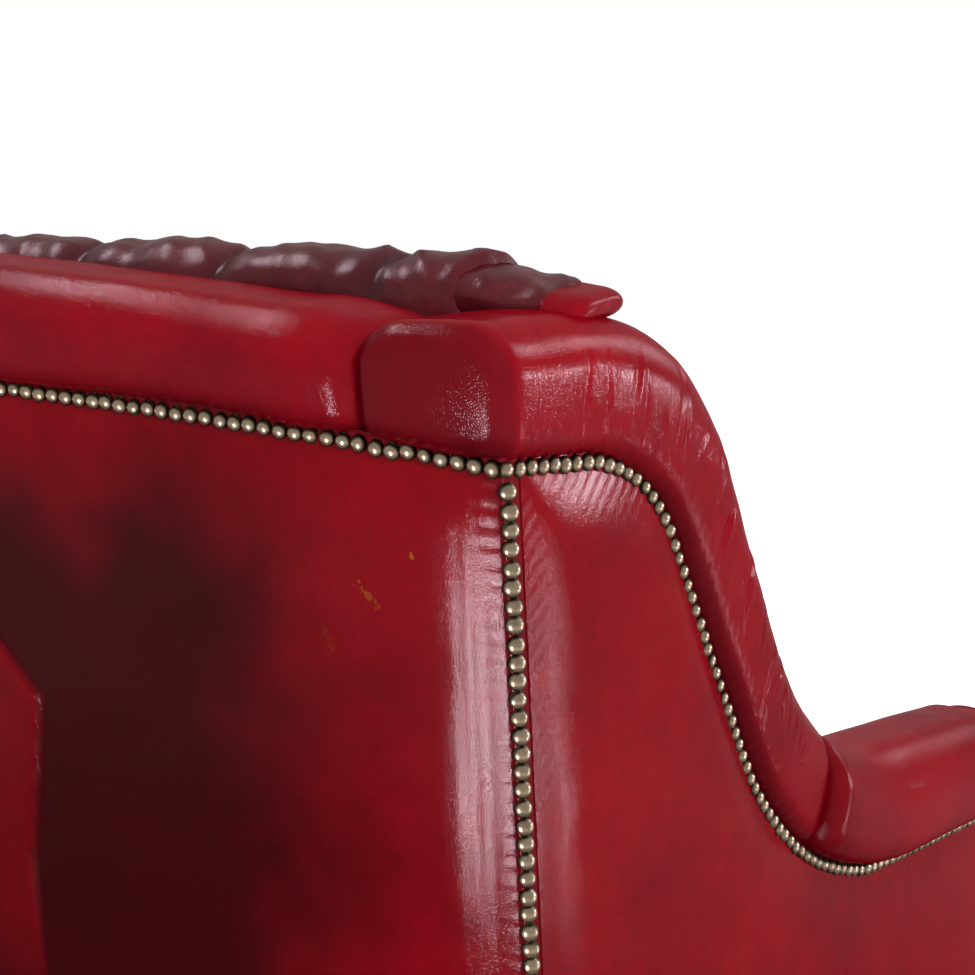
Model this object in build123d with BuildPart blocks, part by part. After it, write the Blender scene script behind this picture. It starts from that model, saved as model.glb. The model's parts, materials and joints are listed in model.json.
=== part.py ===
from build123d import *
from math import cos, radians, sin, tan
import os

os.makedirs("parts", exist_ok=True)

# Sizes are in millimetres and angles in degrees. X runs across the sofa, its front faces -Y and the floor is Z 0.
# Each side is drawn in its own upright plane: forwards from the rear corner nail, and up from the floor.

# The rear corner and the back
corner_half_width = 680
corner_height = 946
crest_rise = 34
back_rake = 4.5
side_flare = 9
side_depth = 790

# The padded rolls, over the nail rows
roll_end_height = 64
roll_rise = 55
roll_depth = 88
wing_roll_rise = 86
roll_bulge = 12
roll_edge = 34
wing_thickness = 96
arm_bulge = 25
arm_edge = 46
arm_under_edge = 18
roll_end_edge = 16

# The side's nail row: level along the wing, down its front and forwards along the arm
wing_turn = 156
wing_turn_drop = 10
wing_turn_radius = 131
arm_turn = 375
arm_turn_drop = 400
arm_turn_radius = 331
arm_front_drop = 433

# The rolls' outer line over that row
crown_turn = 209
crown_turn_rise = 84
crown_turn_radius = 175
arm_crown_turn = 402
arm_crown_turn_drop = 298
arm_crown_turn_radius = 290
arm_crown_front_drop = 340
roll_seam_forward = 424
roll_seam_drop = 288
roll_seam_lean = 21

# Leather covers
panel_thickness = 6
facing_thickness = 12
border_thickness = 12
inside_seam_height = 500

# The buttoned inside back
inside_back_depth = 150
crest_pad_depth = 166
crest_pad_height = 107
crest_pad_rise = 8
crest_pad_drop = 40
crest_pad_edge = 26
crest_lobe_reach = 2
crest_lobe_height = 28
crest_lobe_depth = 64
crest_lobe_edge = 7
crest_lobe_drop = 8
crest_fold_depth = 13
tuft_width = 130
tuft_height = 96
tuft_depth = 15
tuft_taper = 38
tuft_gap = 1.5
tuft_rows = 4
button_radius = 11
button_height = 6
button_edge = 3

# Frame
rail_bottom = 190
rail_height = 110
rail_thickness = 28
board_thickness = 25
post_depth = 45
post_width = 45
arm_post_depth = 60
arm_post_width = 40
arm_rail_height = 45
arm_rail_length = 260
crest_rail_height = 70
lower_rail_rise = 40
lower_rail_height = 60
stretcher_width = 40
stretcher_height = 60
block_side = 70
block_height = 60
screw_radius = 2.5
screw_head_radius = 5
screw_head_height = 3
screw_head_depth = 24
screw_length = 40
screw_height_shares = (0.25, 0.75)

# Seat
webbing_thickness = 2
webbing_width = 50
webbing_setback = 8
back_webbing_shares = (0.25, 0.5, 0.75)
dust_cover_thickness = 2
dust_cover_border = 14
dust_cover_gap = 4
hessian_thickness = 2
deck_thickness = 28
spring_radius = 42
spring_waist_radius = 30
spring_columns = 6
spring_rows = 3
spring_pitch = 190
spring_row_pitch = 170

# Loose seat cushions
cushion_height = 150
cushion_gap = 2
cushion_side_sink = 7
cushion_corner = 34
cushion_crown = 26
cushion_edge = 24
cushion_overhang = 12
piping_radius = 4.5
piping_inset = 30

# Nails
nail_pitch = 12
nail_gap = 0.4
nail_height = 4
nail_shank_radius = 0.9
nail_shank_length = 4
facing_nail_inset = 10
base_nail_rise = 12
nail_row_drop = 0.8

# Legs
glide_radius = 11
glide_height = 4
leg_top = 60
leg_corner = 8
front_leg_shares = [
    # share of the height, share of the top's width, knee's reach as a share of the top's width
    (1.00, 1.00, 0.00),
    (0.86, 1.06, 0.13),
    (0.66, 0.82, 0.16),
    (0.42, 0.56, 0.05),
    (0.20, 0.42, 0.00),
    (0.08, 0.46, 0.00),
]
pad_foot_radius = 36
pad_foot_edge = 7
pad_foot_height = 22
rear_leg_foot = 36
rear_leg_splay = 62

clearance = 0.3
overrun = 60

# Worked out from the driving sizes
flare = radians(side_flare)
rake = radians(back_rake)
nail_radius = (nail_pitch - nail_gap) / 2
rail_top = rail_bottom + rail_height
deck_bottom = rail_top + hessian_thickness
deck_top = deck_bottom + deck_thickness
side_front = side_depth * cos(flare) + wing_thickness * sin(flare)
rear_reach = roll_bulge + (roll_rise + roll_end_height) * sin(rake)
corner_y = (side_front + facing_thickness + nail_height - rear_reach) / 2
post_inset = panel_thickness + board_thickness
post_inner = post_inset + post_width
inside_back_rear = panel_thickness + post_depth + webbing_thickness + clearance
inner_face = wing_thickness + clearance
full_height = corner_height + crest_pad_rise + crest_pad_height + overrun
wing_frame_front = side_depth - arm_post_depth - arm_rail_length
arm_top = corner_height - arm_crown_front_drop
front_rail_front = corner_y - side_front + wing_thickness * sin(flare) + 2 * nail_radius
border_front = front_rail_front - border_thickness

outside = Plane(
    origin=(-corner_half_width, corner_y, 0),
    x_dir=(-sin(flare), -cos(flare), 0),
    z_dir=(-cos(flare), sin(flare), 0),
)
back = Plane(origin=(0, corner_y, corner_height), x_dir=(1, 0, 0), z_dir=(0, -cos(rake), sin(rake)))
arm_front = Plane(
    origin=outside.from_local_coords((side_depth, 0, 0)),
    x_dir=(cos(flare), -sin(flare), 0),
    z_dir=(-sin(flare), -cos(flare), 0),
)


def write(piece, name):
    piece.part.label = name
    export_step(piece.part, f"parts/{name}.step")


def write_pair(piece, name):
    # The left piece, and its mirror image on the right.
    with BuildPart() as other:
        mirror(piece.part, about=Plane.YZ)
    write(piece, f"{name}_left")
    write(other, f"{name}_right")


def rear_edge(height, depth=0):
    # How far forwards of the corner nail a plane parallel to the raked back lies, in the side's plane.
    return ((corner_height - height) * tan(rake) + depth / cos(rake)) / cos(flare)


def back_y(height, depth=0):
    # Where a plane behind the raked back plane's face, at a depth into the sofa, cuts a level.
    return corner_y - (corner_height - height) * tan(rake) - depth / cos(rake)


def along_rake(height):
    # A height over the floor as a place up the raked back plane.
    return (height - corner_height) / cos(rake)


def half_width(y, inset):
    # From the centre line to a side's plane, moved inwards by an inset.
    return corner_half_width - inset / cos(flare) + (corner_y - y) * tan(flare)


def moved(route, distance):
    # The corners of a route, with each run moved to its left by a distance.
    units = [(Vector(b) - Vector(a)).normalized() for a, b in zip(route, route[1:])]
    lefts = [Vector(-u.Y, u.X) for u in units]
    corners = [Vector(route[0]) + lefts[0] * distance]
    for point, before, after in zip(route[1:-1], lefts, lefts[1:]):
        corners.append(Vector(point) + (before + after) * (distance / (1 + before.dot(after))))
    corners.append(Vector(route[-1]) + lefts[-1] * distance)
    return [(c.X, c.Y) for c in corners]


def lengthened(route, amount):
    # A route with both ends run on.
    first = (Vector(route[0]) - Vector(route[1])).normalized() * amount + Vector(route[0])
    last = (Vector(route[-1]) - Vector(route[-2])).normalized() * amount + Vector(route[-1])
    return [(first.X, first.Y), *route[1:-1], (last.X, last.Y)]


nail_route = [
    (0, corner_height),
    (wing_turn, corner_height - wing_turn_drop),
    (arm_turn, corner_height - arm_turn_drop),
    (side_depth, corner_height - arm_front_drop),
]
nail_radii = [wing_turn_radius, arm_turn_radius]
crown_route = [
    (0, corner_height + wing_roll_rise),
    (crown_turn, corner_height + crown_turn_rise),
    (arm_crown_turn, corner_height - arm_crown_turn_drop),
    (side_depth, corner_height - arm_crown_front_drop),
]
crown_radii = [crown_turn_radius, arm_crown_turn_radius]


def face_under(route, radii, mode=Mode.ADD):
    # Everything under a rounded route in the side's plane.
    ends = lengthened(route, overrun)
    with BuildLine() as outline:
        FilletPolyline(*ends, radius=radii)
        Polyline(ends[-1], (ends[-1][0], 0), (ends[0][0], 0), ends[0])
    make_face(outline.edges(), mode=mode)


def side_field(rear_inset=0, front=side_depth, bottom=rail_bottom, top=full_height, mode=Mode.INTERSECT):
    # The side's plane between the raked back and an upright front line.
    with BuildLine() as outline:
        Polyline(
            (rear_edge(bottom, rear_inset), bottom),
            (front, bottom),
            (front, top),
            (rear_edge(top, rear_inset), top),
            close=True,
        )
    make_face(outline.edges(), mode=mode)


def behind_roll_seam(mode):
    # Everything behind the leaning seam between the wing roll and the arm roll.
    lean = tan(radians(roll_seam_lean))
    level = corner_height - roll_seam_drop
    with BuildLine() as outline:
        Polyline(
            (-side_depth, 0),
            (roll_seam_forward - level * lean, 0),
            (roll_seam_forward + (full_height - level) * lean, full_height),
            (-side_depth, full_height),
            close=True,
        )
    make_face(outline.edges(), mode=mode)


def between_sides(inset, mode=Mode.INTERSECT):
    # Cuts the part in hand to, or by, the plan between both sides' planes, moved inwards.
    rear = corner_y + overrun
    front = -corner_y - overrun
    with BuildSketch(Plane.XY) as plan:
        with BuildLine():
            Polyline(
                (-half_width(rear, inset), rear),
                (half_width(rear, inset), rear),
                (half_width(front, inset), front),
                (-half_width(front, inset), front),
                close=True,
            )
        make_face()
    extrude(plan.sketch, amount=full_height + overrun, mode=mode)


def crest_band(low, high, half=None, low_rise=crest_rise, top_rise=crest_rise):
    # A band between two arched lines in the raked back plane, each with its height over the rear corners
    # and its rise from there to the middle.
    half = corner_half_width + overrun if half is None else half
    foot = low + low_rise * (1 - (half / corner_half_width) ** 2)
    head = high + top_rise * (1 - (half / corner_half_width) ** 2)
    with BuildLine() as outline:
        ThreePointArc((-half, head), (0, top_rise + high), (half, head))
        Line((half, head), (half, foot))
        if low <= along_rake(rail_bottom):
            Line((half, foot), (-half, foot))
        else:
            ThreePointArc((half, foot), (0, low_rise + low), (-half, foot))
        Line((-half, foot), (-half, head))
    make_face(outline.edges())


def side_plan(forward, inset, height):
    # A level plane at a place in the side, with X forwards along the side and Y inwards.
    return Plane(
        origin=outside.from_local_coords((forward, height, -inset)),
        x_dir=outside.x_dir,
        z_dir=(0, 0, 1),
    )


def box_between(x_range, y_range, z_range, mode=Mode.ADD):
    # A box between named faces.
    with Locations((x_range[0], y_range[0], z_range[0])):
        Box(
            x_range[1] - x_range[0],
            y_range[1] - y_range[0],
            z_range[1] - z_range[0],
            align=(Align.MIN, Align.MIN, Align.MIN),
            mode=mode,
        )


top_of_panel = moved(nail_route, nail_radius)
roll_radii_inside = [wing_turn_radius + nail_radius, arm_turn_radius - nail_radius]
very_wide = corner_half_width + side_depth
outside_axis = Axis(outside.origin, outside.z_dir)
nearly_one = 0.999


def is_on_crown(edge):
    # Whether an edge of a side roll lies on its outer line, well over the nail row.
    place = outside.to_local_coords(edge.center())
    low = min(p.Y for p in (outside.to_local_coords(edge @ 0), outside.to_local_coords(edge @ 1)))
    return low > nail_height_at(place.X) + arm_edge


def nail_height_at(forward):
    # The nail row's height without its rounded corners.
    for (x0, z0), (x1, z1) in zip(nail_route, nail_route[1:]):
        if forward <= x1:
            return z0 + (z1 - z0) * (forward - x0) / (x1 - x0)
    return nail_route[-1][1]


# Frame rails and posts
with BuildPart() as front_rail:
    box_between(
        (-very_wide, very_wide),
        (front_rail_front, front_rail_front + rail_thickness),
        (rail_bottom, rail_top),
    )
    between_sides(panel_thickness + arm_post_width)
write(front_rail, "front_rail")

with BuildPart() as back_rail:
    with BuildSketch(Plane.YZ.offset(-very_wide)):
        with BuildLine():
            Polyline(
                (back_y(rail_bottom, panel_thickness), rail_bottom),
                (back_y(rail_bottom, panel_thickness + rail_thickness), rail_bottom),
                (back_y(rail_top, panel_thickness + rail_thickness), rail_top),
                (back_y(rail_top, panel_thickness), rail_top),
                close=True,
            )
        make_face()
    extrude(amount=2 * very_wide)
    between_sides(post_inner)
write(back_rail, "back_rail")

lower_rail_bottom = rail_top + lower_rail_rise
with BuildPart() as lower_back_rail:
    with BuildSketch(Plane.YZ.offset(-very_wide)):
        with BuildLine():
            Polyline(
                (back_y(lower_rail_bottom, panel_thickness), lower_rail_bottom),
                (back_y(lower_rail_bottom, panel_thickness + post_depth), lower_rail_bottom),
                (
                    back_y(lower_rail_bottom + lower_rail_height, panel_thickness + post_depth),
                    lower_rail_bottom + lower_rail_height,
                ),
                (
                    back_y(lower_rail_bottom + lower_rail_height, panel_thickness),
                    lower_rail_bottom + lower_rail_height,
                ),
                close=True,
            )
        make_face()
    extrude(amount=2 * very_wide)
    between_sides(post_inner)
write(lower_back_rail, "lower_back_rail")

with BuildPart() as crest_rail:
    with BuildSketch(back.offset(panel_thickness)):
        crest_band(nail_radius - crest_rail_height, nail_radius)
    extrude(amount=post_depth)
    between_sides(post_inner)
write(crest_rail, "crest_rail")

with BuildPart() as back_post:
    with BuildSketch(back.offset(panel_thickness)):
        crest_band(along_rake(rail_bottom) - crest_rise, nail_radius)
    extrude(amount=post_depth)
    between_sides(post_inset)
    between_sides(post_inner, mode=Mode.SUBTRACT)
    split(bisect_by=Plane.XY.offset(rail_bottom), keep=Keep.TOP)
    split(bisect_by=Plane.YZ, keep=Keep.BOTTOM)
write_pair(back_post, "back_post")

block_bottom = rail_bottom + (rail_height - block_height) / 2
block_places = [
    # the block's corner along the side, and which way it runs from there
    (side_depth - arm_post_depth, -1),
    (rear_edge(block_bottom, panel_thickness + post_depth), 1),
]
screw_heights = [block_bottom + block_height * share for share in screw_height_shares]


def at_screws(forward, way, inset):
    # Screw places in one block, pointing outwards through the side rail.
    places = [(forward + way * block_side / 3, height, -inset) for height in screw_heights]
    return [outside.location * Location(place) for place in places]


with BuildPart() as side_rail:
    with BuildSketch(outside.offset(-panel_thickness)):
        side_field(
            panel_thickness,
            front=side_depth - arm_post_depth,
            top=rail_top,
            mode=Mode.ADD,
        )
    extrude(amount=-board_thickness)
    for forward, way in block_places:
        with Locations(*at_screws(forward, way, post_inset + screw_head_depth)):
            Cylinder(
                screw_radius,
                screw_length,
                align=(Align.CENTER, Align.CENTER, Align.MIN),
                mode=Mode.SUBTRACT,
            )
write_pair(side_rail, "side_rail")

with BuildPart() as wing_frame:
    with BuildSketch(outside.offset(-panel_thickness)):
        face_under(top_of_panel, roll_radii_inside)
        side_field(
            panel_thickness,
            front=wing_frame_front,
            bottom=nail_height_at(wing_frame_front) - arm_rail_height,
        )
    extrude(amount=-board_thickness)
write_pair(wing_frame, "wing_frame")

with BuildPart() as arm_rail:
    with BuildSketch(outside.offset(-panel_thickness)):
        face_under(top_of_panel, roll_radii_inside)
        face_under(
            moved(top_of_panel, -arm_rail_height),
            [wing_turn_radius, arm_turn_radius + arm_rail_height],
            mode=Mode.SUBTRACT,
        )
        with Locations((wing_frame_front, 0)):
            Rectangle(
                side_depth - arm_post_depth - wing_frame_front,
                full_height,
                align=(Align.MIN, Align.MIN),
                mode=Mode.INTERSECT,
            )
    extrude(amount=-arm_post_width)
write_pair(arm_rail, "arm_rail")

with BuildPart() as arm_post:
    with BuildSketch(outside.offset(-panel_thickness)):
        face_under(top_of_panel, roll_radii_inside)
        with Locations((side_depth - arm_post_depth, rail_bottom)):
            Rectangle(
                arm_post_depth,
                full_height,
                align=(Align.MIN, Align.MIN),
                mode=Mode.INTERSECT,
            )
    extrude(amount=-arm_post_width)
write_pair(arm_post, "arm_post")

# Leather panels and rolls
with BuildPart() as outside_arm:
    with BuildSketch(outside):
        face_under(top_of_panel, roll_radii_inside)
        side_field(panel_thickness)
    extrude(amount=-panel_thickness)
write_pair(outside_arm, "outside_arm")

with BuildPart() as outside_back:
    with BuildSketch(back):
        crest_band(along_rake(rail_bottom) - crest_rise, nail_radius)
    extrude(amount=panel_thickness)
    between_sides(0)
    split(bisect_by=Plane.XY.offset(rail_bottom), keep=Keep.TOP)
write(outside_back, "outside_back")

with BuildPart() as wing_roll:
    with BuildSketch(outside.offset(roll_bulge)):
        face_under(crown_route, crown_radii)
        face_under(top_of_panel, roll_radii_inside, mode=Mode.SUBTRACT)
        side_field(-roll_bulge)
        behind_roll_seam(Mode.INTERSECT)
    extrude(amount=-(roll_bulge + wing_thickness))
    roll_sides = faces().filter_by(lambda f: abs(f.normal_at().dot(outside.z_dir)) > nearly_one)
    long_edges = roll_sides.edges().filter_by(is_on_crown)
    fillet(long_edges, roll_edge)
    with BuildSketch(back.offset(-roll_bulge)) as back_under_nails:
        crest_band(-crest_rail_height, nail_radius)
    extrude(back_under_nails.sketch, amount=roll_bulge + panel_thickness + post_depth, mode=Mode.SUBTRACT)
write_pair(wing_roll, "wing_roll")

with BuildPart() as arm_roll:
    with BuildSketch(outside.offset(arm_bulge)):
        face_under(crown_route, crown_radii)
        face_under(top_of_panel, roll_radii_inside, mode=Mode.SUBTRACT)
        side_field(0)
        behind_roll_seam(Mode.SUBTRACT)
    extrude(amount=-(arm_bulge + wing_thickness))
    roll_sides = faces().filter_by(lambda f: abs(f.normal_at().dot(outside.z_dir)) > nearly_one)
    long_edges = roll_sides.edges().filter_by(is_on_crown)
    fillet(long_edges, arm_edge)
    under_edge = roll_sides.sort_by(outside_axis)[-1].edges().sort_by(Axis.Z)[0]
    fillet(under_edge, arm_under_edge)
write_pair(arm_roll, "arm_roll")

with BuildPart() as back_roll:
    with BuildSketch(back.offset(-roll_bulge)):
        crest_band(nail_radius, roll_end_height, top_rise=roll_rise)
    extrude(amount=roll_bulge + roll_depth)
    between_sides(inner_face)
    top = faces().sort_by(Axis.Z)[-1]
    rear_bottom = faces().sort_by(Axis.Y)[-1].edges().filter_by(GeomType.CIRCLE).sort_by(Axis.Z)[0]
    fillet(top.edges().filter_by(GeomType.CIRCLE), roll_edge)
    fillet(rear_bottom, roll_end_edge)
write(back_roll, "back_roll")

# The buttoned inside back, with its crest pad, diamond tufts and flutes down to the seat
tuft_plane = back.offset(inside_back_depth - tuft_depth)
button_reach = half_width(corner_y, inner_face + tuft_gap) - tuft_width / 3
tuft_columns = int(corner_half_width / (tuft_width / 2)) + 1


def button_place(column, row):
    return (column * tuft_width / 2, -crest_pad_drop - button_radius - row * tuft_height)


def tuft_cells():
    # The outlines between the buttons: triangles, diamonds and then flutes.
    cells = []
    low = along_rake(rail_bottom)
    for row in range(tuft_rows + 1):
        for column in range(-tuft_columns, tuft_columns + 1):
            if (row + column) % 2 == 0:
                continue
            left, right = button_place(column - 1, row), button_place(column + 1, row)
            above, below = button_place(column, row - 1), button_place(column, row + 1)
            if row == 0:
                cells.append([left, below, right])
            elif row < tuft_rows - 1:
                cells.append([left, below, right, above])
            elif row == tuft_rows - 1:
                cells.append([left, (left[0], low), (right[0], low), right, above])
    return cells


def shrunk(points, gap):
    # A cell's outline drawn in towards its middle.
    middle = Vector(sum(p[0] for p in points), sum(p[1] for p in points)) / len(points)
    drawn = []
    for point in points:
        away = Vector(point) - middle
        kept = middle + away * (1 - gap / away.length)
        drawn.append((kept.X, kept.Y))
    return drawn


button_places = [
    button_place(column, row)
    for row in range(tuft_rows)
    for column in range(-tuft_columns, tuft_columns + 1)
    if (row + column) % 2 == 0 and abs(button_place(column, row)[0]) < button_reach
]

with BuildPart() as button:
    Cylinder(button_radius, button_height, align=(Align.CENTER, Align.CENTER, Align.MIN))
    fillet(edges().sort_by(Axis.Z)[-1], button_edge)

with BuildPart() as crest_lobes:
    with BuildSketch(back.offset(crest_pad_depth - crest_lobe_depth)):
        crest_band(
            crest_pad_height - crest_lobe_height,
            crest_pad_height - crest_lobe_drop,
            half=corner_half_width - crest_lobe_reach,
            low_rise=crest_pad_rise,
            top_rise=crest_pad_rise,
        )
    extrude(amount=crest_lobe_depth - crest_pad_edge / 2)
    fillet(edges().filter_by(GeomType.CIRCLE), crest_lobe_edge)

with BuildPart() as inside_back:
    with BuildSketch(back.offset(inside_back_rear)):
        crest_band(along_rake(rail_bottom) - crest_rise, nail_radius - clearance)
    extrude(amount=inside_back_depth - tuft_depth - inside_back_rear)
    with BuildSketch(tuft_plane):
        for cell in tuft_cells():
            with BuildLine():
                Polyline(*shrunk(cell, tuft_gap), close=True)
            make_face()
    extrude(amount=tuft_depth, taper=tuft_taper)
    with BuildSketch(back.offset(roll_depth + clearance)):
        crest_band(-crest_pad_drop, crest_pad_height, top_rise=crest_pad_rise)
    extrude(amount=crest_pad_depth - roll_depth - clearance)
    pad_top = faces().filter_by(GeomType.CYLINDER).sort_by(Axis.Z)[-1]
    fillet(pad_top.edges().filter_by(GeomType.CIRCLE), crest_pad_edge)
    for column in range(-tuft_columns, tuft_columns + 1, 2):
        fold = back.offset(crest_pad_depth).location * Location((column * tuft_width / 2, 0, 0), (0, 0, 0))
        with Locations(fold * Location((0, 0, 0), (0, 45, 0))):
            Box(crest_fold_depth, full_height, crest_fold_depth, mode=Mode.SUBTRACT)
    between_sides(inner_face)
    add(crest_lobes.part)
    split(bisect_by=Plane.XY.offset(deck_top + clearance), keep=Keep.TOP)
    with Locations(*[tuft_plane.location * Location((x, y, 0)) for x, y in button_places]):
        Cylinder(
            button_radius + clearance,
            2 * tuft_depth,
            align=(Align.CENTER, Align.CENTER, Align.MIN),
            mode=Mode.SUBTRACT,
        )
write(inside_back, "inside_back")

with BuildPart() as back_buttons:
    add([button.part.moved(tuft_plane.location * Location((x, y, 0))) for x, y in button_places])
write(back_buttons, "back_buttons")

# Inside wings and arms, the arms' facings and the front border
with BuildPart() as inside_wing:
    with BuildSketch(outside.offset(-post_inset)):
        face_under(top_of_panel, roll_radii_inside)
        side_field(inside_back_rear, bottom=inside_seam_height)
        behind_roll_seam(Mode.INTERSECT)
    extrude(amount=post_inset - wing_thickness)
write_pair(inside_wing, "inside_wing")

with BuildPart() as inside_arm:
    with BuildSketch(outside.offset(-panel_thickness - arm_post_width)):
        face_under(top_of_panel, roll_radii_inside)
        side_field(inside_back_rear, bottom=deck_bottom)
    extrude(amount=panel_thickness + arm_post_width - wing_thickness)
    with BuildSketch(outside.offset(-panel_thickness - arm_post_width)) as wing_outline:
        side_field(0, bottom=inside_seam_height, mode=Mode.ADD)
        behind_roll_seam(Mode.INTERSECT)
    extrude(wing_outline.sketch, amount=-wing_thickness, mode=Mode.SUBTRACT)
write_pair(inside_arm, "inside_arm")

facing_radius = (wing_thickness + arm_bulge) / 2
facing_middle = (wing_thickness - arm_bulge) / 2
facing_circle_height = arm_top - facing_radius
with BuildPart() as arm_facing:
    with BuildSketch(arm_front):
        with Locations((0, rail_bottom)):
            Rectangle(wing_thickness, facing_circle_height - rail_bottom, align=(Align.MIN, Align.MIN))
        with Locations((facing_middle, facing_circle_height)):
            Circle(facing_radius)
    extrude(amount=facing_thickness)
write_pair(arm_facing, "arm_facing")

with BuildPart() as front_border:
    box_between((-very_wide, very_wide), (border_front, front_rail_front), (rail_bottom, deck_top))
    between_sides(inner_face)
write(front_border, "front_border")

# The seat frame's stretcher, blocks and screws
front_rail_rear = front_rail_front + rail_thickness
with BuildPart() as centre_stretcher:
    with BuildSketch(Plane.YZ.offset(-stretcher_width / 2)):
        with BuildLine():
            Polyline(
                (front_rail_rear, rail_bottom),
                (back_y(rail_bottom, panel_thickness + rail_thickness), rail_bottom),
                (
                    back_y(rail_bottom + stretcher_height, panel_thickness + rail_thickness),
                    rail_bottom + stretcher_height,
                ),
                (front_rail_rear, rail_bottom + stretcher_height),
                close=True,
            )
        make_face()
    extrude(amount=stretcher_width)
write(centre_stretcher, "centre_stretcher")

with BuildPart() as corner_blocks:
    for forward, way in block_places:
        with BuildSketch(side_plan(forward, post_inset, block_bottom)):
            with BuildLine():
                Polyline((0, 0), (way * block_side, 0), (0, block_side), close=True)
            make_face()
    extrude(amount=block_height)
    for forward, way in block_places:
        with Locations(*at_screws(forward, way, post_inset + screw_head_depth)):
            Cylinder(screw_radius, screw_head_depth, align=(Align.CENTER, Align.CENTER, Align.MIN), mode=Mode.SUBTRACT)
            Cylinder(
                screw_head_radius + clearance,
                block_side,
                align=(Align.CENTER, Align.CENTER, Align.MAX),
                mode=Mode.SUBTRACT,
            )
    mirror(about=Plane.YZ)
write(corner_blocks, "corner_blocks")

with BuildPart() as frame_screws:
    for forward, way in block_places:
        with Locations(*at_screws(forward, way, post_inset + screw_head_depth)):
            Cylinder(screw_radius, screw_length, align=(Align.CENTER, Align.CENTER, Align.MIN))
            Cylinder(screw_head_radius, screw_head_height, align=(Align.CENTER, Align.CENTER, Align.MAX))
    mirror(about=Plane.YZ)
write(frame_screws, "frame_screws")

# Webbing, springs, hessian, deck and dust cover
seat_rear = back_y(rail_bottom, panel_thickness + webbing_setback)
seat_front = front_rail_front + webbing_setback
spring_middle = (front_rail_rear + back_y(rail_bottom, panel_thickness + rail_thickness)) / 2
spring_xs = [(column - (spring_columns - 1) / 2) * spring_pitch for column in range(spring_columns)]
spring_ys = [spring_middle + (row - (spring_rows - 1) / 2) * spring_row_pitch for row in range(spring_rows)]
webbing_top = rail_bottom
webbing_bottom = webbing_top - webbing_thickness

with BuildPart() as seat_webbing:
    for x in spring_xs:
        box_between(
            (x - webbing_width / 2, x + webbing_width / 2),
            (seat_front, seat_rear),
            (webbing_bottom, webbing_top),
        )
    for y in spring_ys:
        box_between(
            (-very_wide, very_wide),
            (y - webbing_width / 2, y + webbing_width / 2),
            (webbing_bottom, webbing_top),
        )
    between_sides(panel_thickness + webbing_setback)
write(seat_webbing, "seat_webbing")

with BuildPart() as spring:
    with BuildSketch(Plane.XZ):
        with BuildLine():
            Line((0, 0), (spring_radius, 0))
            ThreePointArc(
                (spring_radius, 0),
                (spring_waist_radius, rail_height / 2),
                (spring_radius, rail_height),
            )
            Polyline((spring_radius, rail_height), (0, rail_height), (0, 0))
        make_face()
    revolve(axis=Axis.Z)

with BuildPart() as seat_springs:
    add([spring.part.moved(Location((x, y, webbing_top))) for x in spring_xs for y in spring_ys])
write(seat_springs, "seat_springs")

with BuildPart() as seat_hessian:
    box_between(
        (-very_wide, very_wide),
        (front_rail_front, back_y(rail_top, panel_thickness)),
        (rail_top, deck_bottom),
    )
    between_sides(post_inner + clearance)
write(seat_hessian, "seat_hessian")

with BuildPart() as seat_deck:
    box_between(
        (-very_wide, very_wide),
        (front_rail_front, back_y(rail_top, inside_back_rear)),
        (deck_bottom, deck_top),
    )
    between_sides(inner_face)
write(seat_deck, "seat_deck")

back_webbing_plane = back.offset(panel_thickness + post_depth)
with BuildPart() as back_webbing:
    with BuildSketch(back_webbing_plane):
        for x in spring_xs:
            with Locations((x, along_rake(lower_rail_bottom))):
                Rectangle(
                    webbing_width,
                    -along_rake(lower_rail_bottom),
                    align=(Align.CENTER, Align.MIN),
                )
        for share in back_webbing_shares:
            with Locations((0, along_rake(lower_rail_bottom) * share)):
                Rectangle(2 * very_wide, webbing_width)
    extrude(amount=webbing_thickness)
    between_sides(post_inset + webbing_setback)
write(back_webbing, "back_webbing")

# Loose seat cushions with their piping
cushion_bottom = deck_top + clearance
cushion_rear = back_y(deck_top, inside_back_depth) - cushion_gap - piping_radius
cushion_front = border_front - cushion_overhang


def cushion_edges():
    # The left cushion's plan: each side drawn in a little between its corners.
    inset = inner_face + cushion_gap + piping_radius
    middle = cushion_gap / 2 + piping_radius
    corners = [
        (-middle, cushion_rear),
        (-half_width(cushion_rear, inset), cushion_rear),
        (-half_width(cushion_front, inset), cushion_front),
        (-middle, cushion_front),
    ]
    with BuildLine() as outline:
        for start, end in zip(corners, corners[1:] + corners[:1]):
            SagittaArc(start, end, cushion_side_sink)
        edge_list = outline.edges()
    with BuildSketch() as plan:
        make_face(edge_list)
        fillet(plan.vertices(), cushion_corner)
    return plan.sketch


cushion_plan = cushion_edges()
cushion_middle = cushion_plan.center()
corner_reach = max((v.center() - cushion_middle).length for v in cushion_plan.vertices())
crown_radius = corner_reach**2 / (2 * cushion_crown)
seam_heights = [
    cushion_bottom + piping_inset,
    cushion_bottom + cushion_height - cushion_crown - piping_inset,
]

with BuildPart() as cushion_piping:
    for height in seam_heights:
        seam = cushion_plan.face().outer_wire().moved(Location((0, 0, height)))
        with BuildSketch(Plane(origin=seam @ 0, z_dir=seam % 0)):
            Circle(piping_radius)
        sweep(path=seam)
write_pair(cushion_piping, "cushion_piping")

with BuildPart() as seat_cushion:
    with BuildSketch(Plane.XY.offset(cushion_bottom)):
        add(cushion_plan)
    extrude(amount=cushion_height)
    with Locations((cushion_middle.X, cushion_middle.Y, cushion_bottom + cushion_height - crown_radius)):
        Sphere(crown_radius, rotation=(90, 0, 0), mode=Mode.INTERSECT)
    fillet(faces().sort_by(Axis.Z)[-1].edges(), cushion_edge)
    fillet(faces().sort_by(Axis.Z)[0].edges(), cushion_edge)
    add(cushion_piping.part, mode=Mode.SUBTRACT)
write_pair(seat_cushion, "seat_cushion")

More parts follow.
